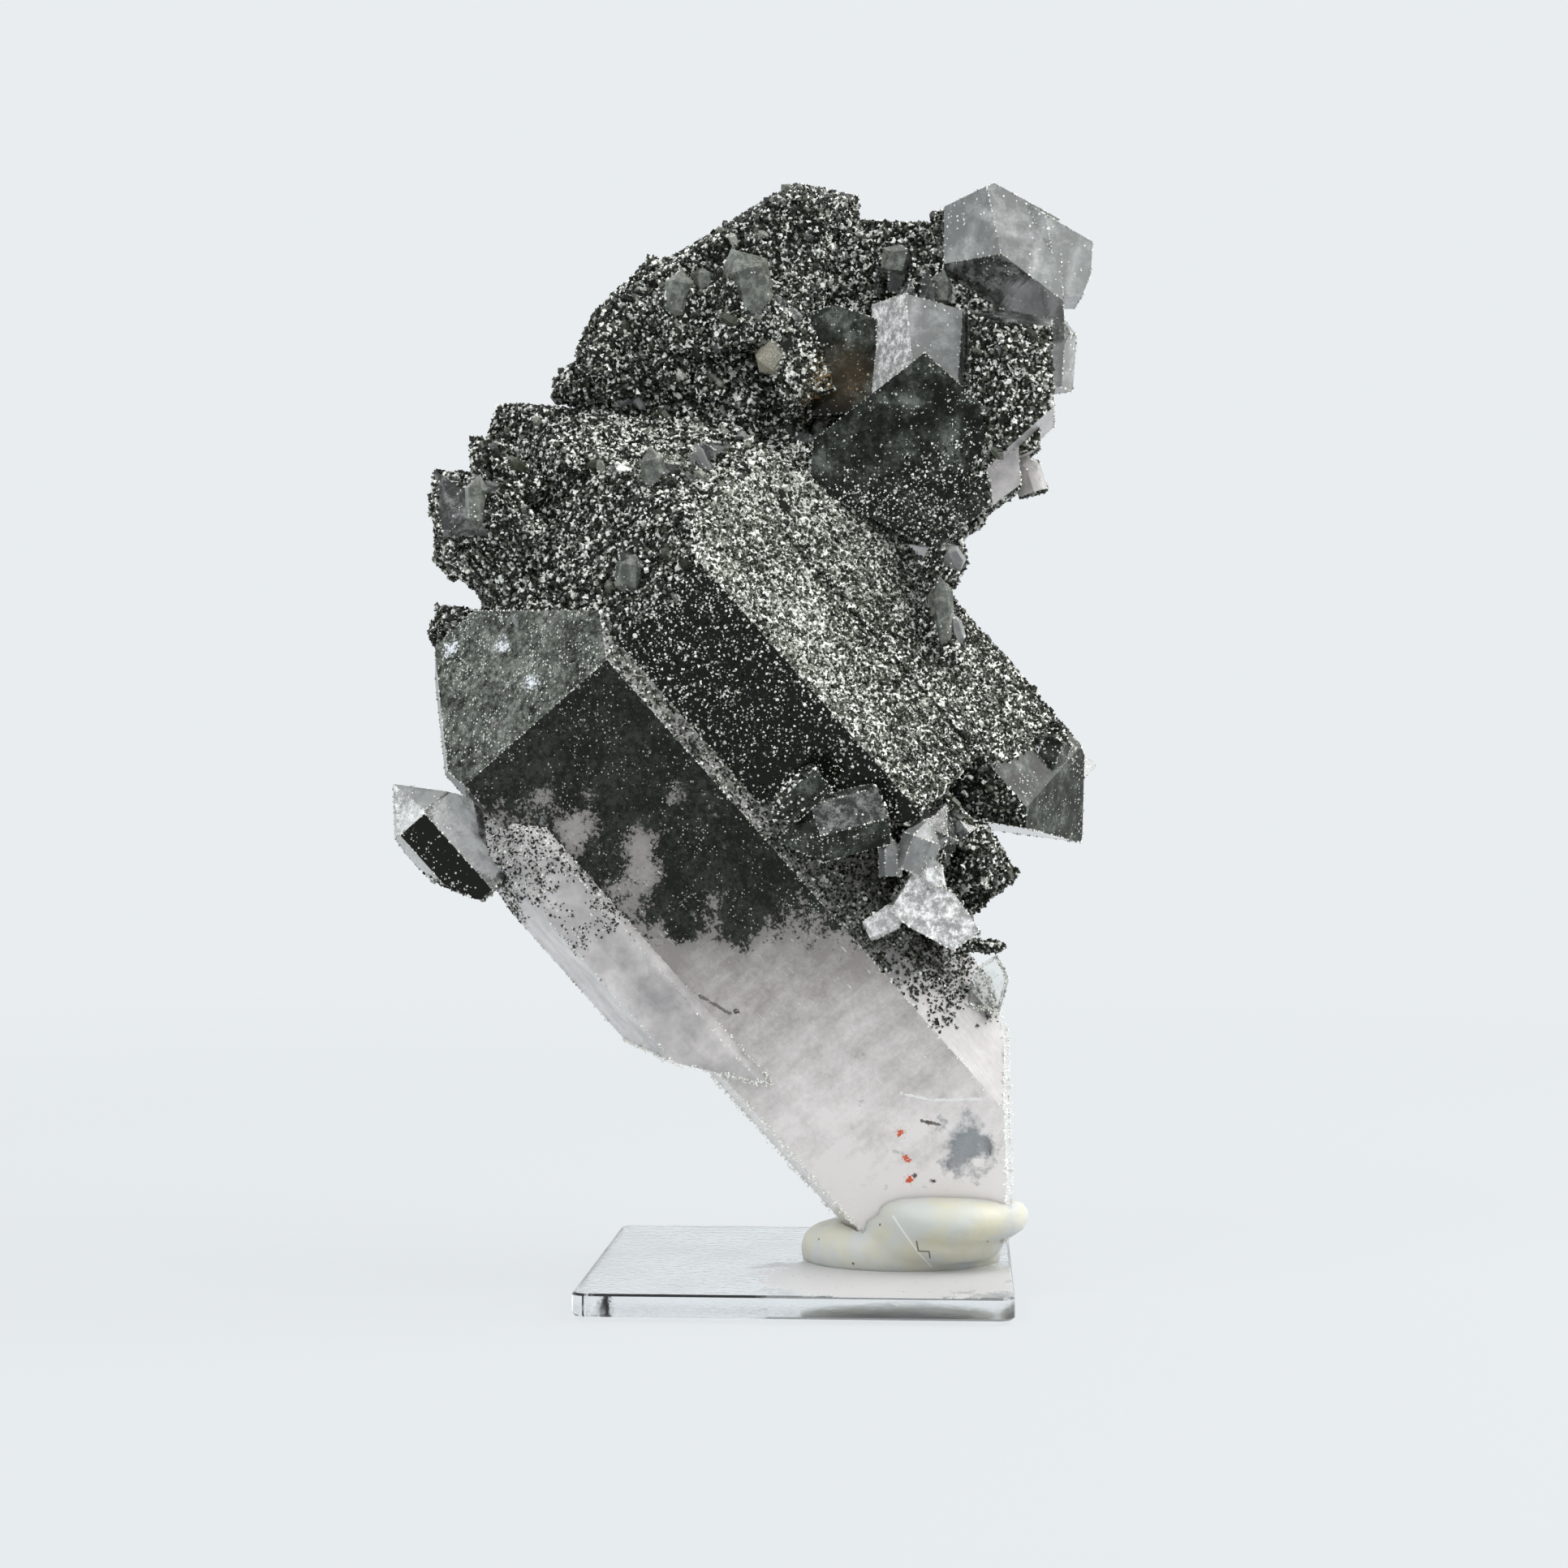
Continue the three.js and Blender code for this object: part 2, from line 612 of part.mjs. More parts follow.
const object = new THREE.Group();
object.name = "chlorite_quartz";
object.add(specimen, standPiece);
export default object;
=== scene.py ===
# %% [markdown]
# # A chlorite quartz cluster, set in putty on a small clear stand
#
# The real thing is one grown cluster of quartz crystals. Dark green chlorite and tiny quartz crystals
# crust most of it, and the biggest crystal is bare: it shows a dark phantom above and milky quartz below.
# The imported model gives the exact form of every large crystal. This script reads that form, refines it,
# and adds what is too fine for a solid: the sparkling crust, the phantom and veils inside, the putty's
# dents and the polish of the stand.

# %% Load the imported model
import math

import bpy
import numpy as np
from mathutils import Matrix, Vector


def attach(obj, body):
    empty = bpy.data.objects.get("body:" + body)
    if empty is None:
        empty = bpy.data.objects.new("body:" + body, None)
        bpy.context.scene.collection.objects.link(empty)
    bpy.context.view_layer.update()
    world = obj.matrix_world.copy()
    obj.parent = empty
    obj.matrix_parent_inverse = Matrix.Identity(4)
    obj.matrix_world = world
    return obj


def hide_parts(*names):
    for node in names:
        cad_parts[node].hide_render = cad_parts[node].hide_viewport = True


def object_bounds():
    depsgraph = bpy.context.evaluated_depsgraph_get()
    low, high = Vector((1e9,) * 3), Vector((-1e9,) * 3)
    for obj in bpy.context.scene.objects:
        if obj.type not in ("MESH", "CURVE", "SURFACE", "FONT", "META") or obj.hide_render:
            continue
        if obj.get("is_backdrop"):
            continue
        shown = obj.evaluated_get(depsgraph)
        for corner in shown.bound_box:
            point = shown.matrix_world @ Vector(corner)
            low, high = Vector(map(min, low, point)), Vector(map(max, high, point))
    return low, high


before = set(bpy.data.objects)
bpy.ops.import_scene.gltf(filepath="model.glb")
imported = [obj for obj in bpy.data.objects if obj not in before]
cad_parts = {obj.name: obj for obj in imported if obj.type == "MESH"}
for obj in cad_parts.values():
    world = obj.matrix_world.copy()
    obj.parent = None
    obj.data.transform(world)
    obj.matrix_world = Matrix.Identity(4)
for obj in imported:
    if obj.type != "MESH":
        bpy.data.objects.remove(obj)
cad_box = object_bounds()
MM = 0.001
print("nodes:", sorted(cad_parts))

# %% [markdown]
# The specimen stands a little turned and off centre on its stand. Everything about the crystals is
# easier to say as seen by a viewer in front: X to the right, Y away, Z up, in millimetres. Two small
# functions go to and from that view.

# %% The viewer's own coordinates
SPECIMEN_TURN = math.radians(3.5)
SPECIMEN_SHIFT = -1.8


def to_viewer(points):
    """Row metres to viewer millimetres: turned back by the specimen's turn, then unshifted along X."""
    c, s = math.cos(SPECIMEN_TURN), math.sin(SPECIMEN_TURN)
    x, y, z = np.asarray(points, float).T / MM
    return np.stack([c * x + s * y - SPECIMEN_SHIFT, c * y - s * x, z], axis=1)


def from_viewer(points):
    """Viewer millimetres to row metres: shifted along X, then turned."""
    c, s = math.cos(SPECIMEN_TURN), math.sin(SPECIMEN_TURN)
    x, y, z = np.asarray(points, float).T
    x = x + SPECIMEN_SHIFT
    return np.stack([c * x - s * y, s * x + c * y, z], axis=1) * MM


def turned(directions):
    """Viewer directions to row directions."""
    return from_viewer(directions) / MM - from_viewer(np.zeros_like(directions)) / MM


# %% [markdown]
# The large crystals grew parallel, so they share one set of face directions. Quartz has six sides, and a
# cap face leans 38.2 degrees out from the crystal's own axis. With a crystal's tip and how far out each
# side lies, any face of the model can be recognised as its side or cap.

# %% Crystal directions
CAP_LEAN = math.radians(38.2)
GROWTH_LEAN = math.radians(-41.35)
GROWTH_NOD = math.radians(3)
GROWTH_TURN = math.radians(-15)

along = np.array(
    [
        math.sin(GROWTH_LEAN) * math.cos(GROWTH_NOD),
        -math.sin(GROWTH_NOD),
        math.cos(GROWTH_LEAN) * math.cos(GROWTH_NOD),
    ]
)
across = np.cross(along, [0, -1, 0])
across /= np.linalg.norm(across)
front = np.cross(across, along)
side_angles = GROWTH_TURN + np.radians(60) * np.arange(6)
side_facing = np.sin(side_angles)[:, None] * across + np.cos(side_angles)[:, None] * front
cap_facing = math.cos(CAP_LEAN) * side_facing + math.sin(CAP_LEAN) * along
facings = np.concatenate([side_facing, cap_facing])
print("growth axis, as seen by the viewer:", along.round(3))

# %% [markdown]
# A large crystal is then a few numbers: the place of its tip, how far out each of its six sides lies, and
# how far each cap face lies beyond the tip. Measuring all its corners would take far more numbers, and
# they would never quite agree. The main crystal is broken too, so its broken faces are listed as a place
# and the way it faces.

# %% The large crystals
FRONT_SIDE, BRIGHT_SIDE = 0, 1
FRONT_CAP, BRIGHT_CAP = 6, 7

MAIN = {"tip": (-30.3, 0, 59.8), "sides": (9.1, 14.65, 14, 9, 4.1, 9.75), "caps": (0, 8, 1.8, 0, 1.5, 1.75)}
HOST = {"tip": (-27.3, 7, 81.5), "sides": (18.8, 17.4, 13.4, 4, 8, 16.9), "caps": (-0.4, 0.6, 0, 1, 0, 2)}
TWIN = {"tip": (-7.5, 4.5, 77.5), "sides": (9.4, 6.6, 7.1, 8, 8, 8), "caps": (0, 0, 3, 0, 0, 0)}
STEM = {"tip": (-28.7, -2.4, 45.3), "sides": (4.9, 5.8, 6, 8, 9, 3.3), "caps": (0,) * 6}
POINT = {"tip": (-35.2, -5, 45.6), "sides": (3.1, 2.9, 5, 3, 4.2, 2.9), "caps": (0,) * 6}
MAIN_CUTS = [
    ((0, 0, 4.6), (0, 0, -1)),
    ((12, -9.2, 9.5), (0, -0.75, -0.66)),
    ((19.9, -6, 12), (1, -0.1, 0.02)),
    ((19, -6, 25.6), (1, -0.1, 0.25)),
]
for name, crystal in (("main", MAIN), ("host", HOST), ("twin", TWIN), ("stem", STEM), ("point", POINT)):
    print(name, "crystal: tip at", crystal["tip"])

# %% [markdown]
# A model face lies on a crystal's plane when it faces the same way and its middle is in that plane. Names
# on the model's faces could say the same, but a model of plain triangles has none, and its geometry is
# always there.

# %% Which crystal a face belongs to
FACE_SLACK_MM = 0.04
FACING_SLACK = 0.999


def planes_of(crystal, cuts=()):
    """All of a crystal's planes as facings and distances: sides, caps, then broken faces."""
    tip = np.array(crystal["tip"], float)
    distances = facings @ tip + np.concatenate([crystal["sides"], crystal["caps"]])
    extra = np.array([np.array(facing) / np.linalg.norm(facing) for _, facing in cuts]).reshape(-1, 3)
    extra_distances = [facing @ np.array(through) for facing, (through, _) in zip(extra, cuts)]
    return np.concatenate([facings, extra]), np.concatenate([distances, extra_distances])


def face_of(crystal, centres, normals, cuts=()):
    """For each model face, the number of the crystal's plane that it lies on, or -1. Numbers 0 to 5 are
    sides, 6 to 11 are caps, and broken faces follow."""
    found = np.full(len(centres), -1)
    for number, (facing, distance) in enumerate(zip(*planes_of(crystal, cuts))):
        on_it = (normals @ facing > FACING_SLACK) & (abs(centres @ facing - distance) < FACE_SLACK_MM)
        found[on_it] = number
    return found


print("planes of the main crystal:", len(planes_of(MAIN, MAIN_CUTS)[0]))

# %% [markdown]
# A model's node arrives as loose triangles. To shape it further, corners that share a place are merged,
# and long edges are split at their middles until none is longer than a limit. All of it works on whole
# arrays at once.

# %% Read and refine a node's mesh
MERGE_M = 2e-6


def read_node(name):
    """Corners (N, 3) and triangles (F, 3) of a node, with corners in one place merged into one."""
    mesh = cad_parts[name].data
    corners = np.empty(len(mesh.vertices) * 3, np.float32)
    mesh.vertices.foreach_get("co", corners)
    corners = corners.reshape(-1, 3).astype(float)
    mesh.calc_loop_triangles()
    triangles = np.empty(len(mesh.loop_triangles) * 3, np.int32)
    mesh.loop_triangles.foreach_get("vertices", triangles)
    keys = np.round(corners / MERGE_M).astype(np.int64)
    _, first, where = np.unique(keys, axis=0, return_index=True, return_inverse=True)
    merged = where.reshape(-1)[triangles].reshape(-1, 3)
    whole = (merged[:, 0] != merged[:, 1]) & (merged[:, 1] != merged[:, 2]) & (merged[:, 2] != merged[:, 0])
    return corners[first], merged[whole]


def face_normals(points, triangles):
    """Unit normals and areas of triangles, from the cross product of two edges."""
    a, b, c = points[triangles].transpose(1, 0, 2)
    cross = np.cross(b - a, c - a)
    length = np.linalg.norm(cross, axis=1)
    return cross / np.maximum(length, 1e-20)[:, None], length / 2


def point_normals(points, triangles):
    """Each corner's normal: the sum of its faces' normals, weighted by their areas."""
    normals, areas = face_normals(points, triangles)
    total = np.zeros_like(points)
    for corner in range(3):
        np.add.at(total, triangles[:, corner], normals * areas[:, None])
    return total / np.maximum(np.linalg.norm(total, axis=1, keepdims=True), 1e-20)


def refine(points, triangles, tags, longest):
    """Splits each edge longer than its limit at its middle, and again until none is left. An edge's limit
    is the smaller of its triangles' limits. One, two or three split edges turn a triangle into two, three
    or four. Tags follow their triangle, and longest gives each tag's limit."""
    while True:
        edges = np.sort(triangles[:, [[0, 1], [1, 2], [2, 0]]], axis=2).reshape(-1, 2)
        unique, where = np.unique(edges, axis=0, return_inverse=True)
        where = where.reshape(-1)
        limit = np.full(len(unique), np.inf)
        np.minimum.at(limit, where, np.repeat(longest[tags], 3))
        ends = points[unique]
        long = np.linalg.norm(ends[:, 0] - ends[:, 1], axis=1) > limit
        if not long.any():
            return points, triangles, tags
        middle = np.full(len(unique), -1)
        middle[long] = len(points) + np.arange(long.sum())
        points = np.concatenate([points, ends[long].mean(axis=1)])
        middles = middle[where].reshape(-1, 3)
        split = middles >= 0
        count = split.sum(axis=1)
        turn = np.where(count == 2, (np.argmin(split, axis=1) + 1) % 3, np.argmax(split, axis=1))
        order = (turn[:, None] + np.arange(3)) % 3
        a, b, c = np.take_along_axis(triangles, order, axis=1).T
        ab, bc, ca = np.take_along_axis(middles, order, axis=1).T
        parts = [
            (count == 0, (a, b, c)),
            (count == 1, (a, ab, c)),
            (count == 1, (ab, b, c)),
            (count == 2, (ab, b, bc)),
            (count == 2, (a, ab, bc)),
            (count == 2, (a, bc, c)),
            (count == 3, (a, ab, ca)),
            (count == 3, (ab, b, bc)),
            (count == 3, (ca, bc, c)),
            (count == 3, (ab, bc, ca)),
        ]
        triangles = np.concatenate([np.stack(part, axis=1)[which] for which, part in parts])
        tags = np.concatenate([tags[which] for which, _ in parts])


print("corners are merged on a grid of", MERGE_M / MM, "mm")

# %% [markdown]
# Lumps in the crust, dents in the putty and the ragged edge of the phantom all follow smooth random
# fields. One small function makes such a field: random numbers sit on a cubic lattice, and any point
# takes a smooth blend of the eight around it.

# %% Smooth random fields
LATTICE = 64


def field(points, cell, seed):
    """Value noise from -1 to 1: random lattice values a cell apart, blended by smooth steps."""
    values = np.random.default_rng(seed).uniform(-1, 1, (LATTICE,) * 3)
    scaled = points / cell
    base = np.floor(scaled).astype(int)
    part = scaled - base
    part = part * part * (3 - 2 * part)
    total = np.zeros(len(points))
    for dx in (0, 1):
        for dy in (0, 1):
            for dz in (0, 1):
                i, j, k = ((base + [dx, dy, dz]) % LATTICE).T
                weight = np.ones(len(points))
                for axis, step in enumerate((dx, dy, dz)):
                    weight = weight * (part[:, axis] if step else 1 - part[:, axis])
                total += weight * values[i, j, k]
    return total


def rough_field(points, cell, seed, layers=3):
    """Fields at a cell size, half of it, a quarter and so on, each half as strong as the last."""
    total = sum(field(points, cell / 2**n, seed + n) / 2**n for n in range(layers))
    return total / (2 - 2 ** (1 - layers))


def smooth_step(low, high, value):
    """0 below low, 1 above high and a smooth rise between."""
    share = np.clip((value - low) / (high - low), 0, 1)
    return share * share * (3 - 2 * share)


print("a smooth step halfway up:", smooth_step(0.0, 2.0, 1.0))

# %% [markdown]
# Arrays become a mesh by foreach_set, which copies a whole array at once. Adding corners one by one would
# take minutes for a million triangles. The faces stay flat, because a crystal's faces are flat.

# %% Put arrays into a Blender object
def mesh_object(name, points, triangles, materials, material_index=None, attributes=None):
    """A new object from corner and triangle arrays, with named values per corner or per face corner."""
    mesh = bpy.data.meshes.new(name)
    mesh.vertices.add(len(points))
    mesh.vertices.foreach_set("co", np.asarray(points, np.float32).reshape(-1))
    mesh.loops.add(triangles.size)
    mesh.loops.foreach_set("vertex_index", np.asarray(triangles, np.int32).reshape(-1))
    mesh.polygons.add(len(triangles))
    mesh.polygons.foreach_set("loop_start", np.arange(0, triangles.size, 3, dtype=np.int32))
    for material in materials:
        mesh.materials.append(material)
    if material_index is not None:
        mesh.polygons.foreach_set("material_index", np.asarray(material_index, np.int32))
    for key, values in (attributes or {}).items():
        domain = "POINT" if len(values) == len(points) else "CORNER"
        layer = mesh.attributes.new(key, "FLOAT", domain)
        layer.data.foreach_set("value", np.asarray(values, np.float32).reshape(-1))
    mesh.polygons.foreach_set("use_smooth", np.zeros(len(triangles), bool))
    mesh.update(calc_edges=True)
    piece = bpy.data.objects.new(name, mesh)
    bpy.context.scene.collection.objects.link(piece)
    print(f"{name}: {len(points)} corners, {len(triangles)} triangles")
    return piece


print("meshes before the first new piece:", len(bpy.data.meshes))

# %% [markdown]
# Each face of the model gets a finish by what covers it on the real specimen: crust, bare quartz on the
# main crystal, milky quartz, clear crystal, frosted or dark glossy faces. The crystals on the right of
# the upper block have one look to each face, so those are listed by a point on the face, the way it
# faces, and its finish. A few regions, in the viewer's millimetres, catch the small crystals.

# %% Finishes of single faces
CRUST, BARE, CLEAR, MILKY, FROSTED, DARK, SMOKY, CRACKED = range(8)
FINISH_NAMES = ("crust", "bare quartz", "clear", "milky", "frosted", "dark glossy", "smoky", "cracked")
NAMED_FACES = [
    ((22, -0.4, 95), (0.22, -0.95, 0.22), FROSTED),
    ((18.7, 3, 100.9), (-0.4, -0.1, 0.91), FROSTED),
    ((18.7, 3, 100.9), (0.45, 0.1, 0.88), FROSTED),
    ((24.2, 0, 96.7), (-0.4, -0.91, -0.1), FROSTED),
    ((26.5, 0.7, 94.6), (0.35, -0.93, 0.05), FROSTED),
    ((18.2, 0.3, 97), (-0.62, -0.78, 0.03), FROSTED),
    ((20.8, -0.2, 92.6), (-0.45, -0.6, -0.66), SMOKY),
    ((13.5, 0.6, 87.5), (0.2, -0.95, 0.25), FROSTED),
    ((10.6, 1.1, 87), (-0.75, -0.65, 0.1), CRACKED),
    ((2.7, 4.6, 94.1), (0, -1, -0.07), CRUST),
    ((2.5, 0.8, 82.7), (0.4, -0.91, 0.14), CRUST),
    ((10.6, 3, 90.3), (0.2, 0.3, 0.93), FROSTED),
    ((5.5, 3.6, 86), (-0.1, -1, 0.05), DARK),
    ((12.8, -3, 84.7), (-0.1, -1, -0.25), DARK),
    ((12.8, -2.7, 84.7), (-0.53, 0.25, 0.8), CLEAR),
    ((12.8, -2.7, 84.7), (0.62, 0.2, 0.72), CLEAR),
    ((18.3, 0, 80), (1, -0.1, 0.05), CRUST),
    ((18, 1.5, 73), (0.25, -1, -0.3), MILKY),
    ((21.7, 4, 76), (1, 0, 0.1), MILKY),
    ((22, -2.6, 84), (0.25, -1, -0.05), CRUST),
    ((18, -1.5, 84), (-0.6, -0.8, 0), CRUST),
    ((18, 3, 86), (0, -1, 0.1), CRUST),
    ((24.7, 0, 84), (1, -0.1, 0.02), MILKY),
    ((24.4, 0, 79.6), (0.68, -0.1, -0.73), MILKY),
]
FINISH_REGIONS = [
    ((-12.6, -4.6, 73.5), 2.2, SMOKY),
    ((-14.8, -7.4, 65.3), 2.2, SMOKY),
    ((-28.8, -2.4, 71.0), 3.0, SMOKY),
    ((-7.6, -1.0, 75.8), 2.2, SMOKY),
    ((23.0, 5.2, 74.4), 2.6, MILKY),
    ((29.3, 10.5, 47.5), 2.2, FROSTED),
    ((10.8, -10.8, 39.6), 3.4, FROSTED),
    ((14.5, -7.5, 42.0), 2.6, SMOKY),
    ((12.0, -10.0, 34.0), 4.6, CRACKED),
    ((19.2, -4.5, 28.0), 3.2, CLEAR),
]
print(len(NAMED_FACES), "single faces and", len(FINISH_REGIONS), "regions have a finish of their own")

# %% [markdown]
# The model is read now, and each face is looked up on the large crystals. What is left belongs to the
# small ones. Painting them by hand would have to be done again after every change of the model, so plain
# limits in the viewer's millimetres mark the clear crystals on the right, the group at the lower right,
# the twin's broken end and the foot.

# %% Read the cluster and find its crystals
BLOCK_SIDE_FACING = np.array([0.953, -0.286, -0.095])
TILTED_MIDDLE = (4.0, -12.0, 41.8)
TILTED_REACH_MM = 5.0
RIGHT_OF_BLOCK_MM = 2.4

corners, faces = read_node("crystal_cluster")
viewer_corners = to_viewer(corners)
flat_normals, flat_areas = face_normals(viewer_corners, faces)
centres = viewer_corners[faces].mean(axis=1)
on_main = face_of(MAIN, centres, flat_normals, MAIN_CUTS)
on_host, on_twin, on_stem, on_point = (
    face_of(crystal, centres, flat_normals) for crystal in (HOST, TWIN, STEM, POINT)
)
x, y, z = centres.T
on_large = (on_main >= 0) | (on_host >= 0) | (on_twin >= 0) | (on_stem >= 0)
block_side = flat_normals @ BLOCK_SIDE_FACING > FACING_SLACK
clear_right = (x > RIGHT_OF_BLOCK_MM) & (y < 6.5) & (z > 67) & (z < 101.6) & ~on_large & ~block_side
far_right = (x > 23.6) & (z > 78)
lower_right = (x > -5) & (y < -3) & (z > 26) & (z < 48.5) & ~on_large
twin_end = (x > 14) & (z < 50) & (z > 41) & (y > -4) & (on_twin < 0) & ~on_large
foot = (z < 28) & ~on_large & ~lower_right & (y < 9)
tilted_crystal = (np.linalg.norm(centres - TILTED_MIDDLE, axis=1) < TILTED_REACH_MM) & ~on_large
print(on_large.sum(), "of", len(faces), "faces lie on the large crystals")

# %% [markdown]
# Everything starts as crust, and each line below covers a part of what the lines before it said: first
# whole crystals, then single faces, regions, and last the small crystals that change from face to face.

# %% Sort the faces by finish
UPPER_MM = 66

kind = np.full(len(faces), CRUST)
kind[on_main >= 0] = BARE
kind[(on_stem >= 0) | foot] = MILKY
kind[clear_right | twin_end | (on_point >= 0)] = CLEAR
kind[far_right] = FROSTED
kind[on_main == BRIGHT_SIDE] = MILKY
kind[on_host == FRONT_SIDE] = DARK
upper_right = (x > RIGHT_OF_BLOCK_MM) & (z > UPPER_MM)
for through, facing, finish in NAMED_FACES:
    facing = np.array(facing) / np.linalg.norm(facing)
    level = abs((centres - through) @ facing) < FACE_SLACK_MM
    kind[level & (flat_normals @ facing > FACING_SLACK) & upper_right] = finish
for centre, reach, finish in FINISH_REGIONS:
    kind[(np.linalg.norm(centres - centre, axis=1) < reach) & ~on_large] = finish
turned_up = flat_normals[:, 2] > 0.2
turned_right = flat_normals[:, 0] > 0.75
turned_front = (flat_normals[:, 0] < 0.1) & (flat_normals[:, 1] < -0.9)
kind[tilted_crystal] = np.where(turned_up[tilted_crystal], SMOKY, DARK)
kind[twin_end & (turned_right | turned_front)] = DARK
kind[on_point >= 0] = SMOKY
kind[on_point == FRONT_SIDE] = DARK
kind[on_point == FRONT_CAP] = CRACKED
kind[on_point == BRIGHT_CAP] = FROSTED
for number, name in enumerate(FINISH_NAMES):
    print(name, round(flat_areas[kind == number].sum()), "square millimetres")

# %% [markdown]
# Crust gets lumps and bare quartz gets the phantom's ragged edge, and both are kept at corners, so their
# edges must be short. All other faces are flat and even, and need few corners. A limit for each finish
# keeps the triangles where they are used. The twin's broken end is bare below a slanted line across its
# bright side. No edge of the model follows that line, so it is cut out of the refined triangles.

# %% Refine the cluster
LONGEST_EDGE_MM = np.array([1.1, 0.9, 3.0, 3.0, 3.0, 3.0, 3.0, 3.0])
BARE_END_LEFT_MM = 19.0
BARE_END_LINE = (19.3, 47.2)
BARE_END_SLOPE = 0.42

longest = (LONGEST_EDGE_MM * MM)[kind]
points, triangles, parent = refine(corners, faces, np.arange(len(faces)), longest)
across_end, _, up_end = to_viewer(points)[triangles].mean(axis=1).T
bare_end = (on_twin[parent] == BRIGHT_SIDE) & (across_end > BARE_END_LEFT_MM)
bare_end &= up_end < BARE_END_LINE[1] + BARE_END_SLOPE * (across_end - BARE_END_LINE[0])
kinds = np.where(bare_end, DARK, kind[parent])
print("cluster refined to", len(triangles), "triangles, of which", bare_end.sum(), "on the twin's bare end")

# %% [markdown]
# ## Materials
#
# Every finish is built from Blender's own nodes and reads the object's coordinates in metres, so its
# scale is the real one. Written out, each node takes several lines, so short helpers keep the code
# readable: one adds a node and fills in its inputs, others do arithmetic, noise and colour ramps.

# %% Node helpers
def new_material(name):
    """An empty node material with a Principled shader, returned with its tree and shader."""
    material = bpy.data.materials.new(name)
    material.use_nodes = True
    return material, material.node_tree, material.node_tree.nodes["Principled BSDF"]


def add(tree, kind, inputs=None, **settings):
    """Adds a node. Inputs hold numbers, colours or another node's output."""
    node = tree.nodes.new("ShaderNode" + kind)
    for key, value in settings.items():
        setattr(node, key, value)
    for key, value in (inputs or {}).items():
        if isinstance(value, bpy.types.NodeSocket):
            tree.links.new(value, node.inputs[key])
        else:
            node.inputs[key].default_value = value
    return node


def place(tree):
    """The object's own coordinates, in metres."""
    return add(tree, "TexCoord").outputs["Object"]


def noise(tree, size_mm, detail=3.0, roughness=0.55, vector=None):
    """Noise with features about size_mm across, from 0 to 1."""
    inputs = {"Vector": vector or place(tree), "Scale": 1 / (size_mm * MM)}
    inputs |= {"Detail": detail, "Roughness": roughness}
    return add(tree, "TexNoise", inputs).outputs["Fac"]


def cells(tree, size_mm):
    """Voronoi cells about size_mm across: the node gives a distance and a random colour."""
    return add(tree, "TexVoronoi", {"Vector": place(tree), "Scale": 1 / (size_mm * MM)})


def random_shades(tree, voronoi):
    """Two random numbers for each cell, from the red and the green of its random colour."""
    split = add(tree, "SeparateColor", {"Color": voronoi.outputs["Color"]})
    return split.outputs["Red"], split.outputs["Green"]


def sums(tree, operation, a, b=0.0, c=0.0):
    """One step of arithmetic, by the name that Blender's Math node gives it."""
    return add(tree, "Math", {0: a, 1: b, 2: c}, operation=operation).outputs[0]


def uneven(tree, size_mm, detail, roughness, width):
    """Noise stretched to the given width, with zero in its middle."""
    return sums(tree, "MULTIPLY_ADD", noise(tree, size_mm, detail, roughness), width, -width / 2)


def faded(tree, distance, inner_mm, outer_mm):
    """1 up to the inner distance, 0 from the outer one on, and a straight fall between."""
    limits = {0: distance, 1: inner_mm * MM, 2: outer_mm * MM, 3: 1.0, 4: 0.0}
    return add(tree, "MapRange", limits).outputs[0]


def ramp(tree, value, *stops):
    """A colour ramp through (place, colour) stops. A number stands for a grey."""
    node = add(tree, "ValToRGB", {"Fac": value})
    elements = node.color_ramp.elements
    while len(elements) < len(stops):
        elements.new(0.5)
    for element, (position, colour) in zip(elements, stops):
        element.position = position
        grey = (colour,) * 3 if isinstance(colour, (int, float)) else colour
        element.color = (*grey, 1)
    return node.outputs["Color"]


def mix(tree, share, a, b):
    """Colour a where the share is 0, colour b where it is 1, and a blend between."""
    node = add(tree, "Mix", {"Factor": share}, data_type="RGBA")
    for number, value in ((6, a), (7, b)):
        if isinstance(value, bpy.types.NodeSocket):
            tree.links.new(value, node.inputs[number])
        else:
            node.inputs[number].default_value = (*value, 1)
    return node.outputs[2]


def attribute(tree, name):
    """A value that the piece's own mesh carries under this name."""
    return add(tree, "Attribute", attribute_name=name).outputs["Fac"]


def bump(tree, height, depth_mm, strength=1.0):
    """A normal that leans as if the surface rose by the height, from 0 to 1, times the depth."""
    inputs = {"Height": height, "Distance": depth_mm * MM, "Strength": strength}
    return add(tree, "Bump", inputs).outputs["Normal"]


def wire(tree, shader, **links):
    """Links outputs or sets numbers on the shader's inputs, named with underscores for spaces."""
    for key, value in links.items():
        socket = shader.inputs[key.replace("_", " ")]
        if isinstance(value, bpy.types.NodeSocket):
            tree.links.new(value, socket)
        else:
            socket.default_value = (*value, 1) if socket.type == "RGBA" else value


def made(material):
    """Prints a finished material's name and its number of nodes."""
    print(material.name, "has", len(material.node_tree.nodes), "nodes")
    return material


print("materials of the model:", [material.name for material in bpy.data.materials])

# %% [markdown]
# The crust is chlorite: dark green, nearly black flakes, mixed with grey quartz grains and a few pale
# ones. The grains that stand out are real small shapes, added later. The ground between them has to look
# grainy too, and far more shapes would be too heavy, so it is a finish: Voronoi cells a third of a
# millimetre across, each with a random shade. The attribute called pale paints light and shade: more of
# the cells are pale on the faces that the key light meets, and fewer on the front sides.

# %% Ground of the crust
QUARTZ_IOR = 1.544
CRUST_IOR = 1.6
CHLORITE_BLACK = (0.006, 0.007, 0.004)
CHLORITE_GREEN = (0.042, 0.047, 0.030)
GRAIN_GREY = (0.23, 0.24, 0.20)
GRAIN_PALE = (0.88, 0.89, 0.83)


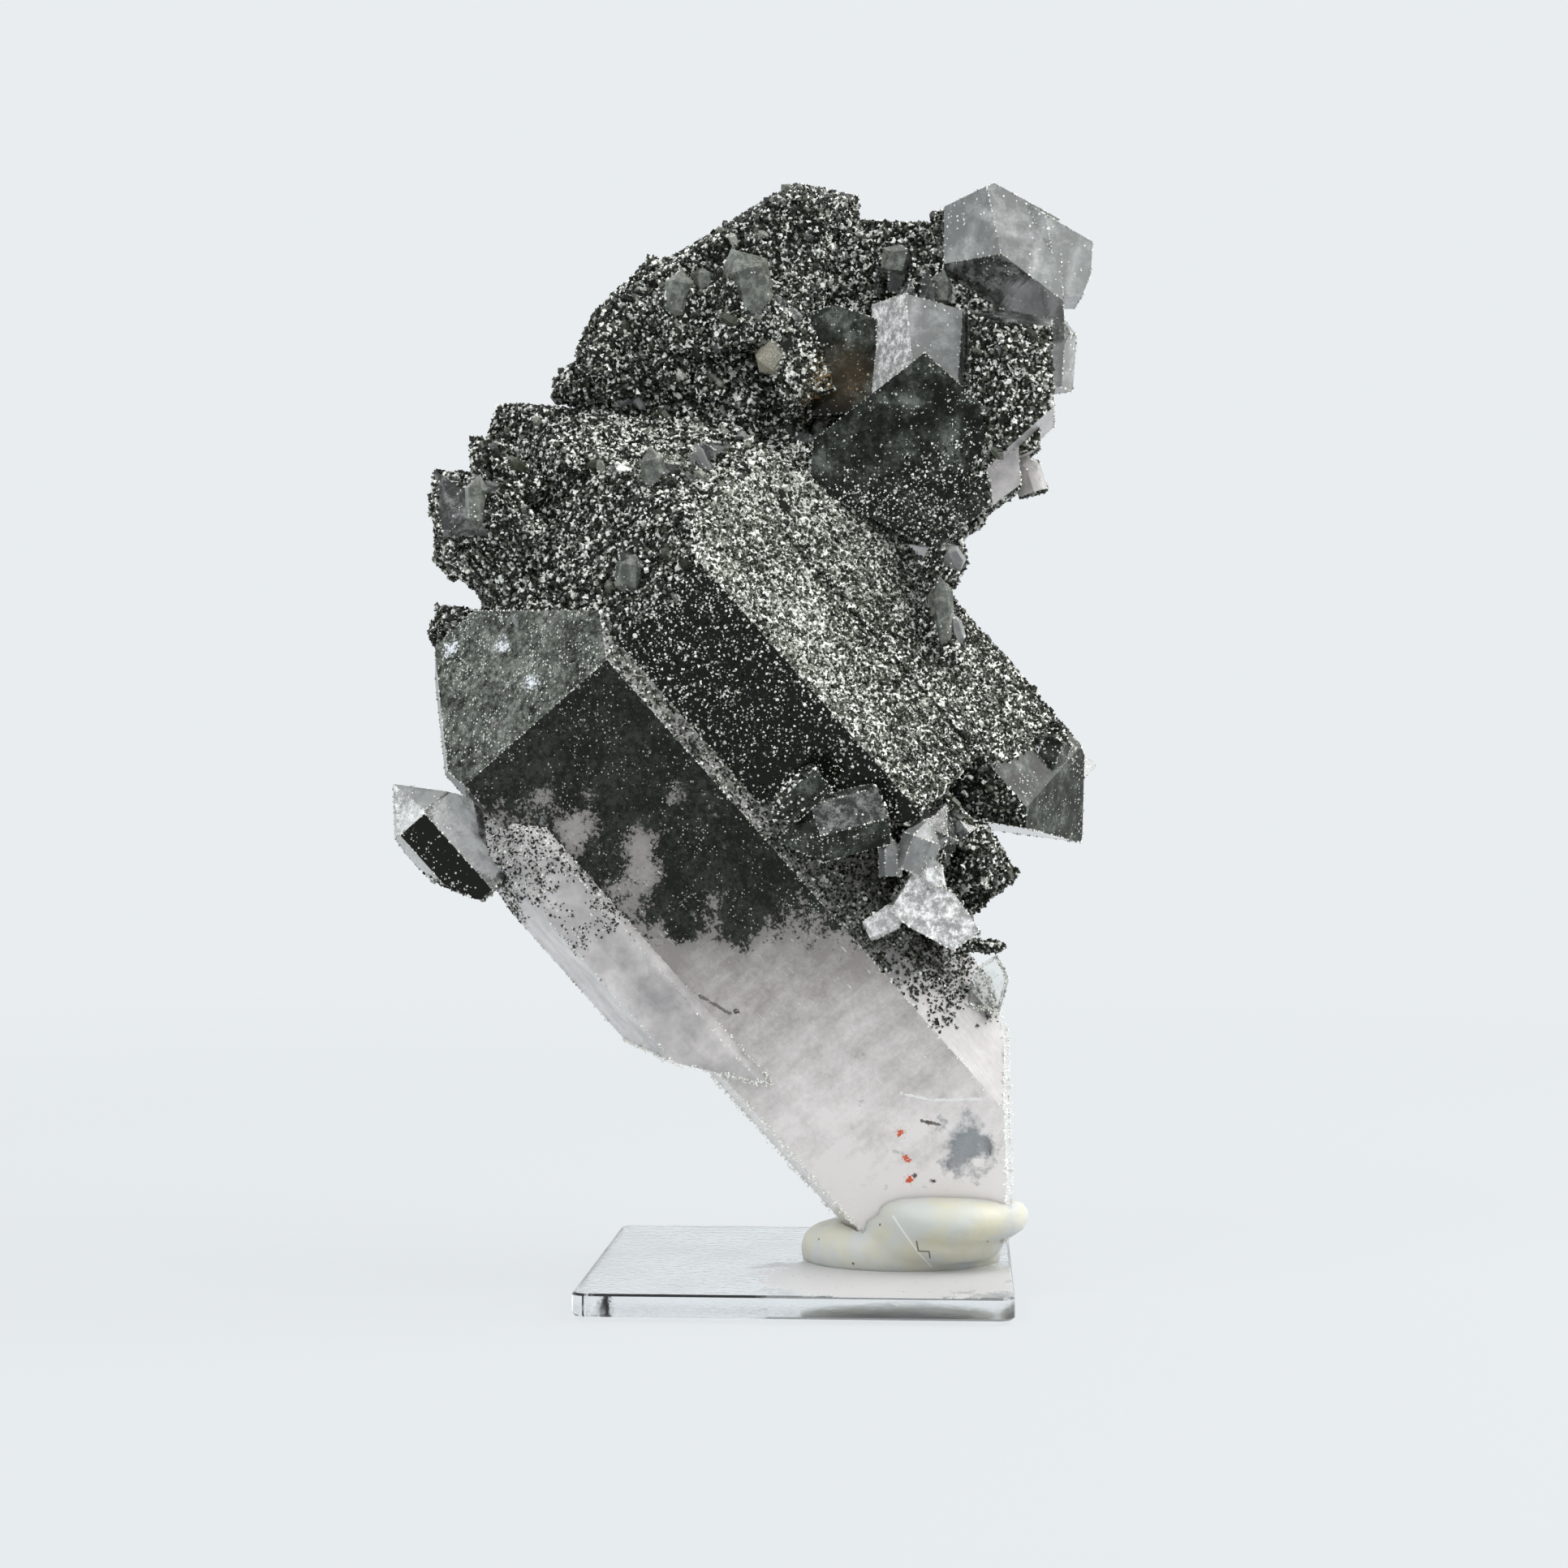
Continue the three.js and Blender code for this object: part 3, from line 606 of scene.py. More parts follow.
def speckle(tree, shade):
    """A grain's colour from its random shade: black, dark green, grey, then pale."""
    return ramp(
        tree, shade,
        (0.34, CHLORITE_BLACK), (0.56, CHLORITE_GREEN), (0.72, GRAIN_GREY), (0.90, GRAIN_PALE),
    )


def crust_material():
    """The ground of the crust: a speckle of cells in wide patches, with a small dome for each cell."""
    material, tree, shader = new_material("chlorite_crust")
    small = cells(tree, 0.32)
    red, green = random_shades(tree, small)
    patches = noise(tree, 6.0, 2.0)
    shade = sums(tree, "MULTIPLY_ADD", patches, 0.5, -0.30)
    shade = sums(tree, "ADD", shade, red)
    # Painted light and shade: the attribute pale lifts the cells where the key light meets the face and
    # lowers them on the front sides.
    shade = sums(tree, "MULTIPLY_ADD", attribute(tree, "pale"), 0.30, shade)
    height = sums(tree, "SUBTRACT", 1.0, small.outputs["Distance"])
    wire(
        tree, shader,
        Base_Color=speckle(tree, shade),
        Roughness=sums(tree, "MULTIPLY_ADD", green, 0.4, 0.3),
        Normal=bump(tree, height, 0.25),
        IOR=CRUST_IOR,
        Specular_IOR_Level=0.2,
    )
    return material


crust = made(crust_material())

# %% [markdown]
# A separate grain is one flake or one tiny crystal, so it has one shade of its own, which its corners
# carry as the attribute called shade. Fine noise keeps the larger grains from looking like cut paper. In
# the hollow, rust has stained the grains ochre, and the attribute called stain says how much.

# %% Single grains
OCHRE = (0.25, 0.155, 0.06)


def grain_material():
    """A grain's own shade with fine noise over it, mixed towards ochre by its stain."""
    material, tree, shader = new_material("chlorite_grain")
    fine = noise(tree, 0.12, 2.0)
    shade = sums(tree, "MULTIPLY_ADD", fine, 0.30, sums(tree, "SUBTRACT", attribute(tree, "shade"), 0.15))
    wire(
        tree, shader,
        Base_Color=mix(tree, attribute(tree, "stain"), speckle(tree, shade), OCHRE),
        Roughness=sums(tree, "MULTIPLY_ADD", fine, 0.3, 0.08),
        Normal=bump(tree, fine, 0.03),
        IOR=CRUST_IOR,
        Specular_IOR_Level=0.22,
    )
    return material


grain = made(grain_material())

# %% [markdown]
# Quartz faces are never quite plain. Growth leaves faint steps across a crystal, and wear leaves fine
# scratches along it. Both can be the same noise: turned to the growth axis, then drawn out one way or the
# other by a Mapping node. Loose chlorite also lies on the smooth faces as fine dust, which is sparse
# Voronoi cells with a spot in each.

# %% Growth lines and dust
def growth_lines(tree, size_mm, along_stretch=1.0, across_stretch=1.0):
    """Noise drawn out along the growth axis, as scratches are, or across it, as growth steps are."""
    scale = (1 / across_stretch, 1 / across_stretch, 1 / along_stretch)
    upright = add(tree, "Mapping", {"Vector": place(tree), "Rotation": (0, -GROWTH_LEAN, 0)})
    drawn = add(tree, "Mapping", {"Vector": upright.outputs["Vector"], "Scale": scale})
    return noise(tree, size_mm, 4.0, 0.6, drawn.outputs["Vector"])


def dust(tree, size_mm, amount):
    """Fine grains on a face: about this amount of all cells, each shown as a spot in its cell's middle.
    Wide noise makes them gather in patches."""
    spots = cells(tree, size_mm)
    red, green = random_shades(tree, spots)
    patches = sums(tree, "MULTIPLY_ADD", noise(tree, 2.5, 4.0), 1.6, amount - 0.8)
    chosen = sums(tree, "LESS_THAN", red, patches)
    size = sums(tree, "MULTIPLY_ADD", green, 0.22, 0.20)
    return sums(tree, "MULTIPLY", chosen, sums(tree, "LESS_THAN", spots.outputs["Distance"], size))


print("growth lines lean", round(math.degrees(GROWTH_LEAN), 1), "degrees from upright")

# %% [markdown]
# Some marks belong to one place: a stain, a crack, a speck. They could be painted on as a picture, but a
# distance says the same in one line and stays sharp at any size. A mark is where the place on the object
# is near a point, or near a line as seen from the front. Fine noise then makes its edge ragged.

# %% Marks at a point or along a line
def near(tree, spot, inner_mm, outer_mm):
    """1 within the inner distance of a viewer point, 0 beyond the outer one."""
    middle = tuple(from_viewer(np.array([spot]))[0])
    distance = add(tree, "VectorMath", {0: place(tree), 1: middle}, operation="DISTANCE")
    return faded(tree, distance.outputs["Value"], inner_mm, outer_mm)


def near_line(tree, start, end, inner_mm, outer_mm):
    """1 near a straight line seen from the front, 0 beyond the outer distance. The nearest place on the
    line is start + t (end - start), where t is the clamped share along it. Y is left out."""
    ends = from_viewer(np.array([(x, 0, z) for x, z in (start, end)])) * [1, 0, 1]
    span = ends[1] - ends[0]
    per_length = tuple(span / (span @ span))
    flat = add(tree, "VectorMath", {0: place(tree), 1: (1, 0, 1)}, operation="MULTIPLY")
    local = add(tree, "VectorMath", {0: flat.outputs[0], 1: tuple(ends[0])}, operation="SUBTRACT")
    share = add(tree, "VectorMath", {0: local.outputs[0], 1: per_length}, operation="DOT_PRODUCT")
    clamped = add(tree, "Clamp", {"Value": share.outputs["Value"]}).outputs[0]
    along_it = add(tree, "VectorMath", {0: tuple(span), "Scale": clamped}, operation="SCALE")
    distance = add(tree, "VectorMath", {0: local.outputs[0], 1: along_it.outputs[0]}, operation="DISTANCE")
    return faded(tree, distance.outputs["Value"], inner_mm, outer_mm)


def soft_lines(tree, lines, reach_mm):
    """Uneven soft lines seen from the front: nearness to any of the lines, times fine noise."""
    nearest = near_line(tree, *lines[0], 0.02, reach_mm)
    for line in lines[1:]:
        nearest = sums(tree, "MAXIMUM", nearest, near_line(tree, *line, 0.02, reach_mm))
    return sums(tree, "MULTIPLY", nearest, noise(tree, 0.35, 4.0, 0.75))


def blots(tree, spots, reach_mm):
    """Ragged spots: 1 where nearness to any of the places, times fine noise, passes a limit."""
    nearest = near(tree, spots[0], 0.1, reach_mm)
    for spot in spots[1:]:
        nearest = sums(tree, "MAXIMUM", nearest, near(tree, spot, 0.1, reach_mm))
    return sums(tree, "GREATER_THAN", sums(tree, "MULTIPLY", nearest, noise(tree, 0.3, 4.0, 0.75)), 0.42)


def past(tree, axis, operation, limit_mm):
    """1 where the object's own X, Y or Z is LESS_THAN or GREATER_THAN a limit, and 0 elsewhere."""
    return sums(tree, operation, add(tree, "SeparateXYZ", {0: place(tree)}).outputs[axis], limit_mm * MM)


print("a mark's place in the object's own metres:", from_viewer(np.array([[10.0, 0, 10]])).round(4))

# %% [markdown]
# The small crystals at the upper right are real glass: light goes in, bends and shows the dark crust
# behind. They aren't empty, though. Thin milky veils and soft creases run through them, and on the
# frosted and olive ones the veils take over. One function with a tint, a veil and a share of see-through
# glass makes all three.

# %% Clear, frosted and olive quartz
CREASES = [
    ((18.4, 98.2), (19.8, 96.4)), ((19.8, 96.4), (22.4, 95.7)), ((23.9, 97.0), (22.5, 91.0)),
    ((26.9, 94.6), (26.2, 91.0)), ((17.4, 97.0), (15.8, 90.2)), ((12.2, 90.0), (10.9, 85.0)),
]
VEIL_TONE = (0.50, 0.51, 0.50)
CREASE_TONE = (0.66, 0.67, 0.66)
DUST_TONE = (0.70, 0.71, 0.68)


def clear_material(name, tint, roughness, veil, veil_size=2.5, clearness=1.0, veil_tint=VEIL_TONE):
    """Clear or veiled quartz. Where the veil noise is strong the crystal is milky and less see-through."""
    material, tree, shader = new_material(name)
    steps = growth_lines(tree, 0.5, across_stretch=14.0)
    veils = ramp(tree, noise(tree, veil_size, 8.0, 0.78), (0.54 - 0.14 * veil, 0.0), (0.64, veil))
    grains = dust(tree, 0.30, 0.05)
    solid = sums(tree, "MAXIMUM", veils, grains)
    veiled = mix(tree, veils, tint, veil_tint)
    creased = mix(tree, soft_lines(tree, CREASES, 0.7), veiled, CREASE_TONE)
    wire(
        tree, shader,
        Base_Color=mix(tree, grains, creased, DUST_TONE),
        Roughness=sums(tree, "MULTIPLY_ADD", steps, 0.08, roughness),
        Transmission_Weight=sums(tree, "MULTIPLY_ADD", solid, -0.8, clearness),
        Normal=bump(tree, steps, 0.03, strength=0.5),
        IOR=QUARTZ_IOR,
    )
    return material


clear = made(clear_material("clear_quartz", (0.93, 0.95, 0.93), 0.03, veil=0.35))
frosted = made(clear_material(
    "frosted_quartz", (0.285, 0.295, 0.287), 0.20,
    veil=0.5, veil_size=2.4, clearness=0.45, veil_tint=(0.36, 0.37, 0.36),
))
olive = made(clear_material(
    "olive_quartz", (0.085, 0.094, 0.08), 0.16,
    veil=0.8, veil_size=1.0, clearness=0.4, veil_tint=(0.25, 0.262, 0.225),
))

# %% [markdown]
# Milky quartz is full of tiny bubbles that scatter light, so its depths glow softly. Subsurface
# scattering gives that glow under a polished skin, and a share of see-through glass keeps the skin from
# looking like paint. Clouds of noise move it between pale grey and pinkish white.

# %% Milky quartz
# Painted shade: the grey that milk turned to the right takes, to tone down the key light on it.
MILKY_SHADED = (0.40, 0.385, 0.38)
SCATTER_MM = 2.0


def milky_material():
    """Milky quartz: pale grey and pinkish white, lit from inside. Where the attribute pale is high, it is
    painted a darker grey, as shade.
    """
    material, tree, shader = new_material("milky_quartz")
    cloudy = noise(tree, 4.0, 5.0, 0.6)
    fine = growth_lines(tree, 0.4, 10.0)
    milk = ramp(tree, cloudy, (0.34, (0.52, 0.50, 0.50)), (0.62, (0.78, 0.74, 0.73)))
    # Painted shade: the attribute pale turns milk that faces right towards MILKY_SHADED.
    wire(
        tree, shader,
        Base_Color=mix(tree, sums(tree, "MULTIPLY", attribute(tree, "pale"), 0.8), milk, MILKY_SHADED),
        Roughness=sums(tree, "MULTIPLY_ADD", fine, 0.2, 0.05),
        Transmission_Weight=sums(tree, "MULTIPLY_ADD", cloudy, -0.7, 0.62),
        Normal=bump(tree, fine, 0.06),
        Subsurface_Weight=0.5,
        Subsurface_Radius=(1.0, 1.0, 1.0),
        Subsurface_Scale=SCATTER_MM * MM,
        IOR=QUARTZ_IOR,
        Specular_IOR_Level=0.2,
    )
    return material


milky = made(milky_material())

# %% [markdown]
# On the host's front side and in the hollow, smooth quartz lies over solid chlorite. Such a face looks
# nearly black and glassy. Real glass over a dark ground would need a second surface, while an opaque dark
# base with a smooth skin looks the same from every side. Pale dust lies on it, and an ochre stain spreads
# from one place in the hollow.

# %% Dark glossy quartz
HOLLOW_STAIN = (5.6, 3.6, 83.4)
DARK_DEPTHS = (0.006, 0.007, 0.005)
STAINED_DEPTHS = (0.075, 0.047, 0.021)


def dark_glossy_material():
    """A smooth face over chlorite: nearly black, glassy, and dusted with fine pale grains. Where the
    attribute haze is 1, cloudy grey quartz shows between the dark."""
    material, tree, shader = new_material("dark_glossy_quartz")
    grains = sums(tree, "MAXIMUM", dust(tree, 0.22, 0.14), dust(tree, 0.34, 0.02))
    mottled = noise(tree, 3.0, 9.0, 0.82)
    clouds = (0.44, (0.003, 0.004, 0.002)), (0.53, (0.030, 0.035, 0.028)), (0.66, (0.16, 0.175, 0.16))
    base = mix(tree, attribute(tree, "haze"), DARK_DEPTHS, ramp(tree, mottled, *clouds))
    stained = near(tree, HOLLOW_STAIN, 1.2, 4.0)
    base = mix(tree, sums(tree, "MULTIPLY", stained, mottled), base, STAINED_DEPTHS)
    tone = mix(tree, stained, (0.50, 0.52, 0.47), (0.34, 0.21, 0.085))
    wire(
        tree, shader,
        Base_Color=mix(tree, grains, base, tone),
        Roughness=sums(tree, "MULTIPLY_ADD", grains, 0.3, 0.10),
        Normal=bump(tree, grains, 0.05),
        IOR=QUARTZ_IOR,
        Specular_IOR_Level=0.14,
    )
    return material


dark_glossy = made(dark_glossy_material())

# %% [markdown]
# The smoky crystals are grey and see-through, with dark veils. Absorption inside the glass would colour
# them too, but it depends on each crystal's thickness, which the small ones hardly have. So the tint sits
# in the surface, and the veils and the dust block the view.

# %% Smoky quartz
def smoky_material():
    """Grey see-through quartz that shows the dark matrix behind it, with veils, and dusted faces."""
    material, tree, shader = new_material("smoky_quartz")
    grains = dust(tree, 0.28, 0.08)
    veils = ramp(tree, noise(tree, 1.2, 7.0, 0.8), (0.48, 0.02), (0.66, 0.70))
    fine = growth_lines(tree, 0.35, across_stretch=9.0)
    solid = sums(tree, "MAXIMUM", veils, grains)
    colour = mix(tree, veils, (0.47, 0.477, 0.465), (0.23, 0.238, 0.222))
    wire(
        tree, shader,
        Base_Color=mix(tree, grains, colour, (0.55, 0.57, 0.52)),
        Roughness=sums(tree, "MULTIPLY_ADD", fine, 0.2, 0.04),
        Transmission_Weight=sums(tree, "SUBTRACT", 1.0, solid),
        Normal=bump(tree, fine, 0.06),
        IOR=QUARTZ_IOR,
    )
    return material


smoky = made(smoky_material())

# %% [markdown]
# Where quartz broke, it split into small shell-shaped hollows, and cracks inside turn it white. Modelling
# each shell would take thousands of curved faces. A bump of warped Voronoi cells bends the light as the
# shells do, and strong pale veils stand for the cracks.

# %% Cracked quartz
def cracked_material():
    """White broken quartz: small shell-shaped patches face their own ways, with strong pale veils."""
    material, tree, shader = new_material("cracked_quartz")
    shells = cells(tree, 1.7).outputs["Distance"]
    warped = sums(tree, "MULTIPLY_ADD", noise(tree, 0.9, 5.0, 0.7), 0.9, shells)
    veils = ramp(tree, noise(tree, 0.8, 6.0, 0.8), (0.44, 0.25), (0.60, 0.95))
    wire(
        tree, shader,
        Base_Color=mix(tree, veils, (0.80, 0.81, 0.80), (0.95, 0.94, 0.93)),
        Roughness=sums(tree, "MULTIPLY_ADD", veils, 0.25, 0.06),
        Transmission_Weight=sums(tree, "MULTIPLY_ADD", veils, -0.8, 0.9),
        Normal=bump(tree, warped, 0.16),
        IOR=QUARTZ_IOR,
        Specular_IOR_Level=0.3,
    )
    return material


cracked = made(cracked_material())

# %% [markdown]
# The main crystal carries marks of its own: rusty and dark specks, painted glints near its tip, which are
# small bluish-white highlights, a few short cracks, and one clear window low on the right where no milk
# grew. They lie on its front side, so a mark's X and Z are read from the front, and the side's own plane
# gives Y.

# %% Marks on the main crystal
def on_front(x, z):
    """The place on the main crystal's front side at this X and Z: the side's plane, solved for Y."""
    facing = facings[FRONT_SIDE]
    distance = facing @ np.array(MAIN["tip"]) + MAIN["sides"][FRONT_SIDE]
    return x, (distance - facing[0] * x - facing[2] * z) / facing[1], z


RUST_SPOTS = [on_front(10.5, 14.3), on_front(11.0, 11.9), on_front(11.3, 10.1)]
DARK_SPOTS = [on_front(11.7, 10.4), on_front(13.3, 10.0), on_front(-4.3, 25.2), on_front(12.9, 15.4)]
# Painted glints: three small bluish-white highlights near the tip.
PAINTED_GLINT_SPOTS = [(-30.6, -0.5, 57.9), (-25.4, -3.9, 58.2), (-22.5, -7.2, 54.7)]
WINDOW_MIDDLE = on_front(16.4, 13.2)
PALE_CRACKS = [((10.9, 18.0), (13.6, 17.4)), ((13.6, 17.4), (18.0, 17.6))]
DARK_CRACKS = [((12.7, 15.5), (14.4, 15.2)), ((-7.2, 26.6), (-4.4, 25.0))]
CRACKS_FRONT_MM = -3.0


def with_cracks(tree, base, lines, reach_mm, tone):
    """The base colour with ragged thin cracks over it: soft lines past a limit, on the front only."""
    cracks = sums(tree, "GREATER_THAN", soft_lines(tree, lines, reach_mm), 0.38)
    cracks = sums(tree, "MULTIPLY", cracks, past(tree, "Y", "LESS_THAN", CRACKS_FRONT_MM))
    return mix(tree, cracks, base, tone)


def window_share(tree):
    """1 in the clear window low on the right, 0 outside it, with a ragged edge."""
    inside = sums(tree, "ADD", near(tree, WINDOW_MIDDLE, 0.6, 4.2), uneven(tree, 2.2, 6.0, 0.7, 2.4))
    return ramp(tree, inside, (0.34, 0.0), (0.74, 1.0))


print("the window's middle, seen from the front:", np.round(WINDOW_MIDDLE, 1))

# %% [markdown]
# Below the phantom the crystal is milky: pinkish grey next to the phantom, then whiter, with clouds,
# growth steps and fine scratches. The skin and the inner surface both need this colour, so it is a
# function. The attribute called depth tells both how far inside the phantom a point lies, in millimetres,
# and it is negative in the milk.

# %% Colours of the milk
MILKY_GREY = (0.40, 0.365, 0.352)
MILKY_LIGHT = (0.95, 0.905, 0.885)
BESIDE_PHANTOM = (0.17, 0.168, 0.16)
SCRATCH_WHITE = (0.99, 0.98, 0.97)
PHANTOM_WAVES = [(6.0, 3.0, 0.5, 6.0), (1.4, 6.0, 0.8, 18.0), (0.30, 2.0, 0.6, 9.0)]


def phantom_edge(tree):
    """From 0 in the milky quartz to 1 in the phantom. Wide, middle and fine noise break its edge up into
    tongues, blots and single grains."""
    edge = attribute(tree, "depth")
    for waves in PHANTOM_WAVES:
        edge = sums(tree, "ADD", edge, uneven(tree, *waves))
    return ramp(tree, sums(tree, "MULTIPLY_ADD", edge, 0.2, 0.5), (0.3, 0.0), (0.7, 1.0))


def milk_colour(tree):
    """Pinkish grey near the phantom and whiter farther below it, with soft clouds, fine grain, growth
    steps across the crystal and thin pale scratches along it."""
    depth = attribute(tree, "depth")
    clouds = sums(tree, "MULTIPLY_ADD", noise(tree, 5.0, 6.0, 0.62), 1.1, -0.62)
    level = sums(tree, "MULTIPLY_ADD", depth, -0.040, clouds)
    level = sums(tree, "MULTIPLY_ADD", noise(tree, 0.5, 4.0, 0.8), 0.6, sums(tree, "SUBTRACT", level, 0.28))
    steps = growth_lines(tree, 1.1, across_stretch=5.0)
    level = sums(tree, "MULTIPLY_ADD", steps, 0.6, sums(tree, "SUBTRACT", level, 0.30))
    milk = ramp(tree, level, (0.0, MILKY_GREY), (0.8, MILKY_LIGHT))
    beside = ramp(tree, sums(tree, "MULTIPLY_ADD", depth, 0.1, 1.0), (0.3, 0.0), (1.0, 0.5))
    milk = mix(tree, beside, milk, BESIDE_PHANTOM)
    scratches = ramp(tree, growth_lines(tree, 0.16, 30.0), (0.675, 0.0), (0.70, 0.8))
    return mix(tree, scratches, milk, SCRATCH_WHITE)


print("the milk goes from", MILKY_GREY, "to", MILKY_LIGHT)

# %% [markdown]
# The phantom is an older crystal inside the new one: chlorite settled on its faces, and clear quartz grew
# over it. Seen through the skin it is nearly black with fine grey-green grains. Under the cap it is hazier
# and speckled both ways, and the attribute called haze is 1 there.

# %% Colours of the phantom
PHANTOM_DARK = (0.004, 0.005, 0.003)
PHANTOM_HAZE = (0.038, 0.042, 0.033)
CAP_HAZE = (0.092, 0.100, 0.084)
HAZE_LIGHT = (0.34, 0.36, 0.32)
CLOUD_TONE = (0.36, 0.39, 0.37)
BLACK_GRAINS = (0.005, 0.006, 0.004)


def phantom_colour(tree):
    """Nearly black with a few pale clouds, then black grains, then light grains, which are denser and
    lighter under the cap."""
    haze = attribute(tree, "haze")
    mottled = noise(tree, 0.7, 8.0, 0.9)
    wide = noise(tree, 4.5, 4.0, 0.6)
    level = sums(tree, "MULTIPLY_ADD", wide, 0.35, sums(tree, "SUBTRACT", mottled, 0.175))
    hazy_tone = ramp(tree, level, (0.40, PHANTOM_DARK), (0.50, CAP_HAZE), (0.62, HAZE_LIGHT))
    deep_tone = ramp(tree, level, (0.47, PHANTOM_DARK), (0.58, PHANTOM_HAZE))
    phantom = mix(tree, haze, deep_tone, hazy_tone)
    clouds = ramp(tree, noise(tree, 1.8, 8.0, 0.8), (0.61, 0.0), (0.70, 0.6))
    phantom = mix(tree, clouds, phantom, CLOUD_TONE)
    phantom = mix(tree, dust(tree, 0.24, 0.10), phantom, BLACK_GRAINS)
    under_cap = sums(tree, "MULTIPLY", dust(tree, 0.26, 0.22), haze)
    light_grains = sums(tree, "MAXIMUM", dust(tree, 0.20, 0.13), under_cap)
    grain_tone = mix(tree, haze, (0.50, 0.52, 0.46), (0.72, 0.75, 0.68))
    return mix(tree, light_grains, phantom, grain_tone)


print("the phantom goes from", PHANTOM_DARK, "to", PHANTOM_HAZE)

# %% [markdown]
# The main crystal's skin is glass over that inner surface. Glass alone would be too clean: the real skin
# holds haze of its own. So most of the skin shows the same colours as the inside, and the rest is
# see-through, which gives the colours some depth. Only the window is fully clear.

# %% Skin of the main crystal
SKIN_VEIL = 0.80
RUST = (0.60, 0.11, 0.05)


def bare_material():
    """The main crystal's skin: a fifth see-through over the phantom and the milk, all see-through in the
    window, with cracks, painted glints, rusty and dark specks, and painted shade that darkens milk turned
    right."""
    material, tree, shader = new_material("bare_quartz")
    milk = sums(tree, "SUBTRACT", 1.0, phantom_edge(tree))
    fine = growth_lines(tree, 0.4, 10.0)
    window = window_share(tree)
    veil = sums(tree, "MULTIPLY_ADD", milk, -0.02, SKIN_VEIL)
    veil = sums(tree, "MULTIPLY", veil, sums(tree, "SUBTRACT", 1.0, window))
    rust = blots(tree, RUST_SPOTS, 1.5)
    dark = blots(tree, DARK_SPOTS, 0.9)
    # Painted glints: streaked bluish-white highlights at the glint spots.
    streaked = ramp(tree, noise(tree, 0.5, 6.0, 0.8), (0.38, 0.0), (0.52, 0.95))
    white = sums(tree, "MULTIPLY", blots(tree, PAINTED_GLINT_SPOTS, 3.4), streaked)
    spots = sums(tree, "MAXIMUM", sums(tree, "MAXIMUM", rust, dark), white)
    # Painted shade: the attribute pale turns milk and broken faces that face right a darker grey.
    painted_shade_milk = sums(tree, "MULTIPLY", attribute(tree, "pale"), 0.75)
    milk_tone = mix(tree, painted_shade_milk, milk_colour(tree), (0.42, 0.405, 0.40))
    base = mix(tree, milk, phantom_colour(tree), milk_tone)
    base = mix(tree, window, base, (0.93, 0.95, 0.97))
    base = with_cracks(tree, base, PALE_CRACKS, 0.40, (0.97, 0.96, 0.95))
    base = with_cracks(tree, base, DARK_CRACKS, 0.50, (0.20, 0.19, 0.18))
    base = mix(tree, white, base, (0.80, 0.83, 0.87))
    base = mix(tree, dark, base, (0.10, 0.085, 0.07))
    wire(
        tree, shader,
        Base_Color=mix(tree, rust, base, RUST),
        Roughness=sums(tree, "MULTIPLY_ADD", fine, 0.12, 0.0),
        Transmission_Weight=sums(tree, "SUBTRACT", 1.0, sums(tree, "MAXIMUM", veil, spots)),
        Normal=bump(tree, fine, 0.02, strength=0.5),
        IOR=QUARTZ_IOR,
        Specular_IOR_Level=0.09,
    )
    return material


bare = made(bare_material())

# %% [markdown]
# Behind the skin lies the inner surface with the phantom and the milk again, a little deeper in. It is
# rough and opaque, with some scattering in the milk, so that what shows through the skin is soft. Behind
# the window it is an even grey-blue: painted shade, for the shade seen through the clear window.

# %% Inside of the main crystal
CORE_SCATTER_MM = 1.5
# Painted shade: the even grey-blue behind the window, for the shade seen through the clear quartz.
WINDOW_PAINTED_SHADE = (0.66, 0.69, 0.71)


def core_material():
    """The phantom and the milk, mixed at the phantom's ragged edge. Behind the window, an even painted
    shade.
    """
    material, tree, shader = new_material("phantom_and_milk")
    dark = phantom_edge(tree)
    milk = mix(tree, window_share(tree), milk_colour(tree), WINDOW_PAINTED_SHADE)
    wire(
        tree, shader,
        Base_Color=mix(tree, dark, milk, phantom_colour(tree)),
        Roughness=0.6,
        Normal=bump(tree, noise(tree, 0.9, 4.0), 0.2),
        Specular_IOR_Level=0.1,
        Subsurface_Weight=sums(tree, "MULTIPLY_ADD", dark, -0.5, 0.5),
        Subsurface_Radius=(1.0, 1.0, 1.0),
        Subsurface_Scale=CORE_SCATTER_MM * MM,
    )
    return material


core_finish = made(core_material())

# %% [markdown]
# The putty is cream and slightly see-through, with bluish clouds and a few dark specks. A bent dark fibre
# and a fine scratch lie on its front. Both could be thin meshes, but they are flat in the putty, so they
# are lines in its finish.

# %% Putty
FIBRE = [(12.3, 4.96), (12.46, 4.05), (13.4, 4.05), (13.5, 3.4)]
SCRATCH = [(10.2, 7.0), (13.6, 2.4)]
PUTTY_FRONT_MM = -6.0
PUTTY_SCATTER_MM = 4.0
DIRT_TONE = (0.14, 0.11, 0.08)


